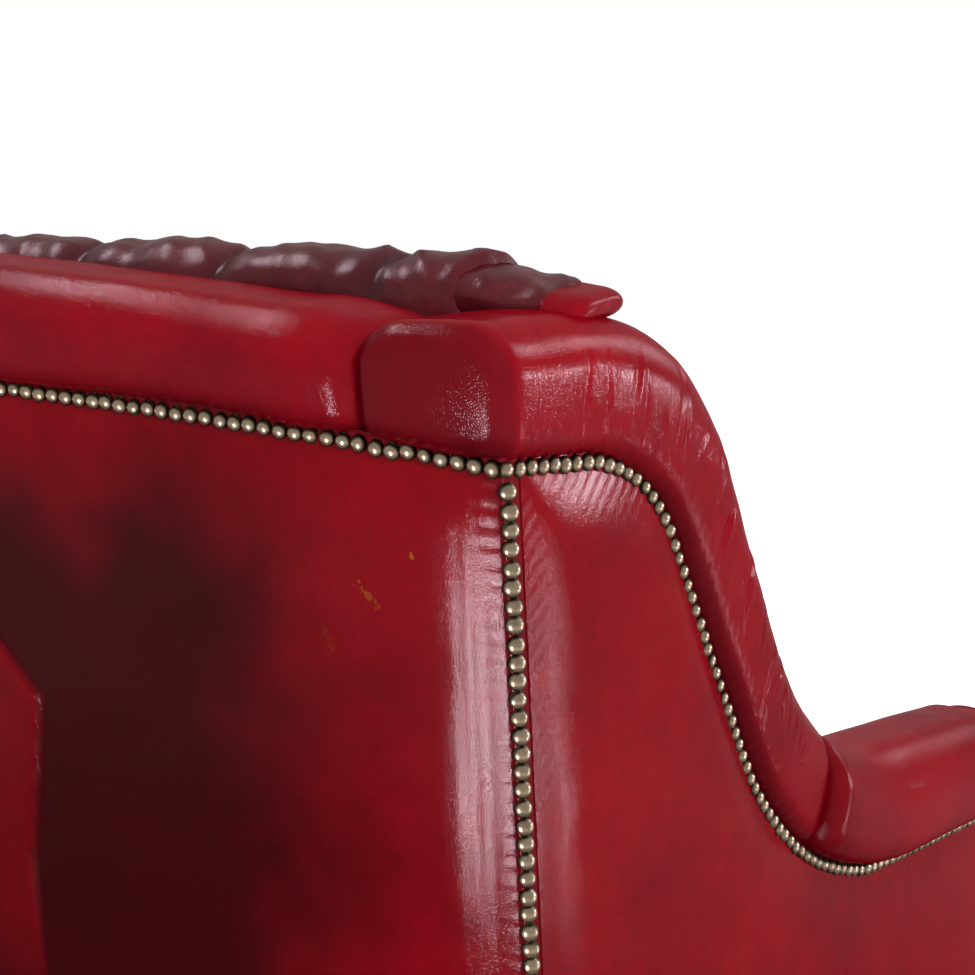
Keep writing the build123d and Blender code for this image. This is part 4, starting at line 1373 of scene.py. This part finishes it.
# The front border under the cushions
frontBorder = {
    "y": -0.3857,
    "low": 0.190,
    "high": 0.330,
    "pillow": 0.005,
    "return": 0.016,
    "returnShare": 0.03,
    "sideInset": 0.0965,
    "nailInset": 0.0963,
    "across": 300,
    "up": 40,
    "depth": 0.012,
    "fill": 0.4,
}


def borderPlace(across, up):
    # the last columns turn forwards along the arms
    half = halfWidthAt(frontBorder["y"], frontBorder["sideInset"])
    height = mix(frontBorder["low"], frontBorder["high"], up)
    share = 2 * across - 1
    flat = 1 - frontBorder["returnShare"]
    face = min(max(share / flat, -1.0), 1.0)
    turned = max(abs(share) - flat, 0.0) / frontBorder["returnShare"] * frontBorder["return"]
    x = face * half + math.copysign(turned * math.tan(sofa["flare"]) - 0.0005, share)
    edge = min(half - abs(x), frontBorder["high"] - height, height - frontBorder["low"])
    return Vector((x, frontBorder["y"] - turned, height)), max(edge, 0.0)


def borderRelief(point, normal, across, up, edge):
    offset = frontBorder["pillow"] * risen(edge - 0.01, 0.02) + 0.0012 * lump(point, 0.12, 51.0)
    # painted shade along the border's edges
    return offset, 0.3 * fading(edge, 0.006), 0.1, 0.1


# The deck under the cushions
def makeDeck():
    low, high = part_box("seat_deck")
    skin = bmesh.new()
    bmesh.ops.create_cube(skin, size=1.0)
    bmesh.ops.subdivide_edges(skin, edges=skin.edges, cuts=int(24 / coarse), use_grid_fill=True)
    top = high.z - 0.001
    for vert in skin.verts:
        y = mix(low.y, high.y, vert.co.y + 0.5)
        x = vert.co.x * 2 * halfWidthAt(y, sofa["innerWall"])
        z = mix(low.z, top, vert.co.z + 0.5)
        if vert.co.z > 0.4:
            z -= 0.0008 * (1 + lump(Vector((x, y, z)), 0.08, 61.0))
        vert.co = Vector((x, y, z))
    bmesh.ops.recalc_face_normals(skin, faces=skin.faces)
    madePiece("seatDeck", skin, smoothAll=False)


# Loose seat cushions: box cushions with piped seams
cushion = {
    "height": 0.150,
    "gap": 0.002,
    "piping": 0.0045,
    "sideSink": 0.007,
    "corner": 0.034,
    "crown": 0.016,
    "edge": 0.024,
    "front": -0.3977,
    "rear": 0.1895,
    "bottom": 0.3303,
    "start": 0.012,
    "quickStart": 0.004,
    "pressure": 4.0,
    "mostSwell": 0.024,
    "seamInset": 0.030,
    "topDrop": 0.020,
}


def cushionCorners():
    inset = sofa["wingThickness"] + 0.0003 + cushion["gap"] + cushion["piping"]
    middle = cushion["gap"] / 2 + cushion["piping"]
    return [
        Vector((-middle, cushion["rear"])),
        Vector((-halfWidthAt(cushion["rear"], inset), cushion["rear"])),
        Vector((-halfWidthAt(cushion["front"], inset), cushion["front"])),
        Vector((-middle, cushion["front"])),
    ]


def cushionLoop(count, grow=0.0):
    # The left cushion's plan with its sides drawn in between rounded corners
    corners = cushionCorners()
    centre = sum(corners, Vector((0, 0))) / 4
    line = []
    for index, corner in enumerate(corners):
        line += cornerArc(corners[index - 1], corner, corners[(index + 1) % 4], cushion["corner"], count=8)
    loop = Route(line + [line[0]])
    even = []
    for index in range(count):
        point = loop.at(loop.length * index / count)
        nearest = min((point - corner).length for corner in corners)
        sink = cushion["sideSink"] * smooth(0.03, 0.2, nearest)
        inwards = (centre - point).normalized()
        even.append(point + inwards * (sink - grow))
    return even


def swollen(piece):
    # Blows the cushion up as cloth and keeps the result
    scene = bpy.context.scene
    rest = [vert.co.copy() for vert in piece.data.vertices]
    cloth = piece.modifiers.new("swell", "CLOTH")
    cloth.settings.use_pressure = True
    cloth.settings.uniform_pressure_force = cushion["pressure"]
    cloth.settings.quality = 5
    cloth.settings.mass = 0.4
    cloth.settings.tension_stiffness = 25
    cloth.settings.compression_stiffness = 25
    cloth.settings.bending_stiffness = 2.5
    cloth.settings.effector_weights.gravity = 0
    cloth.point_cache.frame_start = 1
    cloth.point_cache.frame_end = 20
    for number in range(1, 21):
        scene.frame_set(number)
    result = bpy.data.meshes.new_from_object(piece.evaluated_get(bpy.context.evaluated_depsgraph_get()))
    piece.modifiers.remove(cloth)
    for vert, place, old in zip(piece.data.vertices, result.vertices, rest):
        move = place.co - old
        if move.length > cushion["mostSwell"]:
            move = move.normalized() * cushion["mostSwell"]
        vert.co = old + move
    bpy.data.meshes.remove(result)
    scene.frame_set(1)


def cushionBase():
    # A rounded block a little smaller than the finished cushion, remeshed evenly
    inset = cushion["start"]
    block = bmesh.new()
    loop = cushionLoop(96, grow=-inset)
    foot = [block.verts.new((point.x, point.y, cushion["bottom"] + inset * 0.4)) for point in loop]
    face = block.faces.new(foot)
    grown = bmesh.ops.extrude_face_region(block, geom=[face])["geom"]
    lift = cushion["height"] - cushion["crown"] - inset * 0.9
    raised = [item for item in grown if isinstance(item, bmesh.types.BMVert)]
    bmesh.ops.translate(block, verts=raised, vec=(0, 0, lift))
    bmesh.ops.recalc_face_normals(block, faces=block.faces)
    rims = [edge for edge in block.edges if abs(edge.verts[0].co.z - edge.verts[1].co.z) < 0.0001]
    bmesh.ops.bevel(
        block,
        geom=rims,
        offset=cushion["edge"] - inset * 0.5,
        segments=5,
        profile=0.5,
        affect="EDGES",
        material=-1,
    )
    mesh = meshOf("cushionBlock", block)
    piece = linkedObject("cushionBlock", mesh)
    remesh = piece.modifiers.new("even", "REMESH")
    remesh.mode = "VOXEL"
    remesh.voxel_size = 0.0075
    evened = bpy.data.meshes.new_from_object(piece.evaluated_get(bpy.context.evaluated_depsgraph_get()))
    piece.modifiers.remove(remesh)
    piece.data = evened
    bpy.data.meshes.remove(mesh)
    return piece


def dressCushion(points, seed):
    # Settles the swollen cushion in its place, with sit marks
    dressed = []
    centre = sum((Vector((p.x, p.y)) for p in points), Vector((0, 0))) / len(points)
    low = cushion["bottom"] + 0.0004
    for point in points:
        co = Vector(point)
        top = smooth(0.40, 0.47, co.z)
        across = (Vector((co.x, co.y)) - centre).length
        co.z += top * (0.010 * (1 - smooth(0.0, 0.30, across)) + 0.002 * lump(co, 0.12, seed))
        co.z -= top * 0.004 * smooth(0.5, 0.9, 0.5 + 0.5 * lump(co, 0.2, seed + 3.0))
        co.z = max(co.z, low)
        dressed.append(co)
    return dressed


def makeCushions():
    base = cushionBase()
    swollen(base)
    for side, label, seed in ((-1, "Left", 71.0), (1, "Right", 83.0)):
        skin = bmesh.new()
        skin.from_mesh(base.data)
        spots = dressCushion([vert.co for vert in skin.verts], seed)
        for vert, spot in zip(skin.verts, spots):
            vert.co = Vector((spot.x * -side, spot.y, spot.z))
        bmesh.ops.recalc_face_normals(skin, faces=skin.faces)
        loops = pipingLoops(skin, side)
        carveSeams(skin, loops)
        piece = madePiece(f"seatCushion{label}", skin, body=f"cushion_{label.lower()}")
        finer = piece.modifiers.new("finer", "SUBSURF")
        finer.levels = finer.render_levels = 1
        makePiping(loops, label)
    bpy.data.objects.remove(base)


def pipingLoops(skin, side):
    # Seam lines found on the cushion itself, one near the top and one near the bottom
    tree = BVHTree.FromBMesh(skin)
    low, high = cushion["bottom"], cushion["bottom"] + cushion["height"]
    heights = (low + cushion["seamInset"], high - cushion["seamInset"] - cushion["topDrop"])
    plan = cushionLoop(220)
    centre = sum(plan, Vector((0, 0))) / len(plan)
    loops = []
    for height in heights:
        loop = []
        for point in plan:
            outside = Vector((point.x * -side, point.y, height))
            middle = Vector((centre.x * -side, centre.y, height))
            away = (outside - middle).normalized()
            hit = tree.ray_cast(outside + away * 0.05, -away, 0.2)[0]
            spot = hit if hit is not None else outside
            loop.append(spot - away * 0.0015)
        for again in range(3):
            loop = [(loop[i - 1] + loop[i] * 2 + loop[(i + 1) % len(loop)]) / 4 for i in range(len(loop))]
        loops.append(loop)
    return loops


def carveSeams(skin, loops):
    # The cover dips towards each seam and is painted darker there as shade
    points = [point for loop in loops for point in loop]
    near = KDTree(len(points))
    for index, point in enumerate(points):
        near.insert(point, index)
    near.balance()
    paintedShade, strain, worn = wearAndShadeLayers(skin)
    skin.normal_update()
    for vert in skin.verts:
        distance = near.find(vert.co)[2]
        dip = math.exp(-((distance / 0.011) ** 2))
        vert.co -= vert.normal * 0.0025 * dip
        vert[paintedShade] = 0.5 * math.exp(-((distance / 0.007) ** 2))
        vert[strain] = 0.2
        vert[worn] = 0.25 * smooth(0.44, 0.48, vert.co.z)


def makePiping(loops, label):
    # Each seam line is wrapped in a grid that is joined along and round
    skin = bmesh.new()
    upwards = Vector((0, 0, 1))
    sides = 10
    for loop in loops:
        count = len(loop)
        sheet = bmesh.ops.create_grid(skin, x_segments=sides, y_segments=count, size=0.5)["verts"]
        for vert in sheet:
            angle = 2 * math.pi * (round((vert.co.x + 0.5) * sides) % sides) / sides
            index = round((vert.co.y + 0.5) * count) % count
            heading = (loop[(index + 1) % count] - loop[index - 1]).normalized()
            outwards = heading.cross(upwards).normalized()
            offset = outwards * math.cos(angle) + upwards * math.sin(angle)
            vert.co = loop[index] + offset * cushion["piping"]
    bmesh.ops.remove_doubles(skin, verts=skin.verts, dist=0.00002)
    wearAndShadeLayers(skin)
    bmesh.ops.recalc_face_normals(skin, faces=skin.faces)
    madePiece(f"cushionPiping{label}", skin, body=f"cushion_{label.lower()}")


# Nails: low domes a little uneven in place and tilt
nailStyle = {
    "radius": 0.0061,
    "height": 0.0050,
    "pitch": 0.012,
    "drop": 0.0008,
    "jitter": 0.0004,
    "tilt": 0.09,
    "firstForward": 0.003,
    "baseRise": 0.012,
    "facingInset": 0.010,
}


def nailTemplate():
    dome = bmesh.new()
    bmesh.ops.create_uvsphere(dome, u_segments=14, v_segments=8, radius=1.0)
    bmesh.ops.bisect_plane(
        dome,
        geom=dome.verts[:] + dome.edges[:] + dome.faces[:],
        plane_co=(0, 0, 0),
        plane_no=(0, 0, 1),
        clear_inner=True,
    )
    rim = [edge for edge in dome.edges if edge.is_boundary]
    skirt = bmesh.ops.extrude_edge_only(dome, edges=rim)["geom"]
    low = [item for item in skirt if isinstance(item, bmesh.types.BMVert)]
    bmesh.ops.translate(dome, verts=low, vec=(0, 0, -0.25))
    bmesh.ops.holes_fill(dome, edges=[edge for edge in dome.edges if edge.is_boundary], sides=0)
    bmesh.ops.recalc_face_normals(dome, faces=dome.faces)
    return meshOf("nailDome", dome)


def nailRow(name, places):
    # places: (point, outward direction, direction along the row)
    dice = random.Random(name)
    row = bmesh.new()
    paintedShade = row.verts.layers.float.new("paintedShade")
    radius, tilt, jitter = nailStyle["radius"], nailStyle["tilt"], nailStyle["jitter"]
    done = 0
    for point, outwards, heading in places:
        row.from_mesh(domeMesh)
        row.verts.ensure_lookup_table()
        fresh = row.verts[done:]
        done = len(row.verts)
        across = outwards.cross(heading).normalized()
        grow = dice.uniform(0.95, 1.03)
        lean = Vector((dice.gauss(0, tilt), dice.gauss(0, tilt), 1)).normalized()
        shift = Vector((dice.gauss(0, jitter), dice.gauss(0, jitter), 0))
        turned = Vector((0, 0, 1)).rotation_difference(lean).to_matrix()
        for vert in fresh:
            local = Vector(vert.co)
            # painted shade on the dome's foot, where it meets the leather
            vert[paintedShade] = smooth(0.75, 0.3, local.z) * 0.95
            local = Vector((local.x * radius, local.y * radius, local.z * nailStyle["height"]))
            local = turned @ (local * grow) + shift
            vert.co = point + heading * local.x + across * local.y + outwards * local.z
    bmesh.ops.recalc_face_normals(row, faces=row.faces)
    madePiece(name, row)


def evenly(route, toPlace):
    pitch = nailStyle["pitch"]
    count = int(route.length / pitch + 0.001)
    return [toPlace(route.at(pitch * index), route.heading(pitch * index)) for index in range(count + 1)]


backOut = Vector((0, cosRake, -sinRake))


def onBack(point, heading):
    along = Vector((heading.x, heading.y * sinRake, heading.y * cosRake))
    return backPoint(point.x, point.y, 0.0), backOut, along.normalized()


def onSide(side):
    outwards = Vector((side * cosFlare, sinFlare, 0))

    def toPlace(point, heading):
        along = Vector((side * heading.x * sinFlare, -heading.x * cosFlare, heading.y))
        return sidePoint(side, point.x, point.y, 0.0), outwards, along.normalized()

    return toPlace


def onCorner(side):
    # astride the corner, facing between the back and the side
    outwards = (Vector((side * cosFlare, sinFlare, 0)) * 0.75 + backOut * 0.66).normalized()

    def toPlace(point, heading):
        along = Vector((0, -sinRake, cosRake))
        return sidePoint(side, rearEdge(point.y) + 0.0025, point.y, 0.0018), outwards, along

    return toPlace


def onFacing(side):
    outwards = Vector((side * sinFlare, -cosFlare, 0))

    def toPlace(point, heading):
        along = Vector((-side * heading.x * cosFlare, -heading.x * sinFlare, heading.y))
        spot = sidePoint(side, sofa["sideDepth"] + armFacing["depth"], point.y, -point.x)
        return spot, outwards, along.normalized()

    return toPlace


def arcRoute(points):
    return Route([Vector(point) for point in points])


def onBorder(point, heading):
    return Vector((point.x, frontBorder["y"], point.y)), Vector((0, -1, 0)), Vector((1, 0, 0))


def makeNails():
    radius, drop, inset = nailStyle["radius"], nailStyle["drop"], nailStyle["facingInset"]
    rowEnd = sofa["cornerHalfWidth"] - radius
    steps = 240
    crest = []
    for index in range(steps + 1):
        x = mix(-rowEnd, rowEnd, index / steps)
        crest.append((x, sofa["crestRise"] * (1 - (x / rowEnd) ** 2) - drop))
    nailRow("nailsBack", evenly(arcRoute(crest), onBack))

    baseHeight = sofa["railBottom"] + nailStyle["baseRise"]
    side = shifted(sofa["nailRoute"], -drop)
    side[0] = Vector((nailStyle["firstForward"], side[0].y))
    side[-1] = Vector((sofa["sideDepth"] - radius, side[-1].y))
    sideRow = Route(roundedRoute(side, [radii[0] - drop, radii[1] + drop]))
    cornerFoot = baseHeight + nailStyle["pitch"]
    cornerHead = sofa["cornerHeight"] - nailStyle["pitch"]
    cornerRow = arcRoute(
        [
            (rearEdge(cornerFoot, sofa["sideStart"]) + radius, cornerFoot),
            (rearEdge(cornerHead, sofa["sideStart"]) + radius, cornerHead - drop),
        ]
    )
    # the facing's row goes up one side, round the head and down the other
    middle, bend = armFacing["middle"], armFacing["radius"] - inset
    foot = facingCentre - math.sqrt(bend**2 - (middle - inset) ** 2)
    startAngle = math.atan2(foot - facingCentre, inset - middle)
    if startAngle < 0:
        startAngle += 2 * math.pi
    head = []
    for step in range(41):
        angle = mix(startAngle, 0.0, step / 40)
        head.append((middle + bend * math.cos(angle), facingCentre + bend * math.sin(angle)))
    facingRow = arcRoute([(inset, baseHeight), *head, (middle + bend, baseHeight)])
    sideBase = arcRoute(
        [
            (rearEdge(baseHeight, sofa["sideStart"]) + radius, baseHeight),
            (sofa["sideDepth"] - radius, baseHeight),
        ]
    )
    basePlaces = []
    for way, label in ((-1, "Left"), (1, "Right")):
        nailRow(f"nailsSide{label}", evenly(sideRow, onSide(way)))
        nailRow(f"nailsCorner{label}", evenly(cornerRow, onCorner(way)))
        nailRow(f"nailsFacing{label}", evenly(facingRow, onFacing(way)))
        basePlaces += evenly(sideBase, onSide(way))
    borderEnd = halfWidthAt(frontBorder["y"], frontBorder["nailInset"]) - radius
    basePlaces += evenly(arcRoute([(-borderEnd, baseHeight), (borderEnd, baseHeight)]), onBorder)
    low = alongRake(baseHeight)
    backEnd = halfWidthAt(sofa["cornerY"] + low * sinRake, 0.0) - radius
    basePlaces += evenly(arcRoute([(-backEnd, low), (backEnd, low)]), onBack)
    nailRow("nailsBase", basePlaces)


backWidth = 2 * backRollHalf
makeRoll("backRoll", backRoll, backRoll["depth"], backRollHeight, backWidth, backRollPlace, backRollRelief)
thickness = sofa["wingThickness"]
for side, label in ((-1, "Left"), (1, "Right")):
    wingName, armName = f"wingRoll{label}", f"armRoll{label}"
    makeRoll(wingName, wingRoll, thickness, wingHeight, footSeam, wingPlace(side), wingRelief(side))
    makeRoll(armName, armRoll, thickness, armHeight, armLength, armPlace(side), armRelief)
    outwards, inwards = (side, 0, 0), (-side, 0, 0)
    makePanel(
        f"outsideArm{label}", outsideArm, outsideArmPlace(side), outsideArmRelief, outwards, panelOxblood
    )
    makeCrestEnd(side, label)
    makePanel(f"insideWing{label}", insideWing, insideWingPlace(side), insideRelief, inwards)
    makePanel(f"insideArm{label}", insideArm, insideArmPlace(side), insideRelief, inwards)
    makePanel(f"armFacing{label}", armFacing, facingPlace(side), facingRelief, (0, -1, 0))
makePanel("outsideBack", outsideBack, outsideBackPlace, outsideBackRelief, (0, 1, 0), panelOxblood)
makeInsideBack()
makePanel("frontBorder", frontBorder, borderPlace, borderRelief, (0, -1, 0))
makeDeck()
domeMesh = nailTemplate()
makeNails()
bpy.data.meshes.remove(domeMesh)
makeCushions()
print("all pieces made")

# Floor, lights and camera
stage = {
    "floorHalf": 12.0,
    "floorColour": 0.7,
    "farColour": 0.85,
    "plainReach": 1.35,
    "fade": 0.85,
    "glow": 0.75,
}


def lookedAt(tree):
    # 1 for what the camera sees, straight or in a reflection, and 0 for light on its way
    path = tree.nodes.new("ShaderNodeLightPath")
    seen = maths(tree, "MAXIMUM", path.outputs["Is Camera Ray"], path.outputs["Is Glossy Ray"])
    return maths(tree, "MAXIMUM", seen, path.outputs["Is Transmission Ray"])


def makeFloor():
    # pale grey round the sofa, fading to the white of the background
    ground = bmesh.new()
    bmesh.ops.create_grid(ground, x_segments=1, y_segments=1, size=stage["floorHalf"])
    floor = linkedObject("studioFloor", meshOf("studioFloor", ground))
    material, tree, shader = newMaterial("paleFloor")
    shader.inputs["Roughness"].default_value = 0.9
    shader.inputs["Specular IOR Level"].default_value = 0.1
    away = addNode(tree, "ShaderNodeVectorMath", operation="LENGTH")
    tree.links.new(objectPlace(tree), away.inputs[0])
    far = maths(tree, "SUBTRACT", away.outputs["Value"], stage["plainReach"])
    far = maths(tree, "DIVIDE", far, stage["fade"], clamp=True)
    near, white = [(stage[key],) * 3 for key in ("floorColour", "farColour")]
    tree.links.new(mixColours(tree, far, near, white), shader.inputs["Base Color"])
    shader.inputs["Emission Color"].default_value = (1, 1, 1, 1)
    glow = maths(tree, "MULTIPLY", maths(tree, "MULTIPLY", lookedAt(tree), far), stage["glow"])
    tree.links.new(glow, shader.inputs["Emission Strength"])
    floor.data.materials.append(material)


def makeWorld():
    world = bpy.data.worlds.new("studioAir")
    bpy.context.scene.world = world
    world.use_nodes = True
    tree = world.node_tree
    background = tree.nodes["Background"]
    background.inputs["Color"].default_value = (1, 1, 1, 1)
    tree.links.new(weighed(tree, (lookedAt(tree), 0.5), (0.5, 1)), background.inputs["Strength"])


# A fill lamp leaves no highlight, a gloss lamp gives the highlight alone.
# Each lamp: kind, place, what it points at, width, height and radiance
lampColours = {"fill": (1.0, 0.98, 0.97), "gloss": (1.0, 0.82, 0.92)}
lamps = {
    "rearFill": ("fill", (-2.8, 1.9, 2.2), (-0.5, 0.2, 0.8), 1.2, 1.2, 13.0),
    "frontFill": ("fill", (1.6, -3.0, 2.4), (0, 0, 0.5), 1.6, 1.6, 5.0),
    "overhead": ("gloss", (0.8, 0.25, 2.6), (-0.4, 0.35, 1.0), 1.0, 0.2, 45.0),
    "leftWindow": ("gloss", (-2.25, -1.24, 1.0), (-0.7, 0.3, 0.99), 0.3, 0.22, 150.0),
    "wingLight": ("gloss", (-1.9, -1.7, 2.35), (-0.7, 0.2, 0.95), 0.35, 0.5, 50.0),
    "rearStrip": ("gloss", (-0.47, 1.5, 0.30), (-0.66, 0.40, 0.75), 0.15, 0.5, 120.0),
    "sideStrip": ("gloss", (-2.0, -0.37, 0.32), (-0.69, 0.35, 0.75), 0.05, 0.55, 90.0),
    "frontWindow": ("gloss", (-1.5, -2.8, 2.0), (0, 0, 0.6), 0.8, 0.6, 14.0),
}


def makeLamp(name, kind, place, target, width, height, radiance):
    data = bpy.data.lights.new(name, "AREA")
    data.shape = "RECTANGLE"
    data.size, data.size_y = width, height
    data.energy = radiance * width * height * math.pi
    data.color = lampColours[kind]
    lamp = linkedObject(name, data)
    lamp.location = place
    lamp.rotation_euler = (Vector(target) - Vector(place)).to_track_quat("-Z", "Y").to_euler()
    lamp.visible_camera = False
    lamp.visible_glossy = kind == "gloss"
    lamp.visible_diffuse = kind == "fill"


makeFloor()
makeWorld()
for lampName, settings in lamps.items():
    makeLamp(lampName, *settings)

eye = {"place": (-1.1845, 1.3144, 1.1094), "turn": 209.24, "down": 9.46, "lens": 65.43}
cameraData = bpy.data.cameras.new("cornerView")
cameraData.lens = eye["lens"]
cameraData.sensor_width = 36.0
camera = linkedObject("cornerView", cameraData)
camera.location = eye["place"]
camera.rotation_euler = (math.radians(90 - eye["down"]), 0.0, math.radians(eye["turn"]))
bpy.context.scene.camera = camera
bpy.context.scene.view_settings.view_transform = "Standard"

print("stage set")
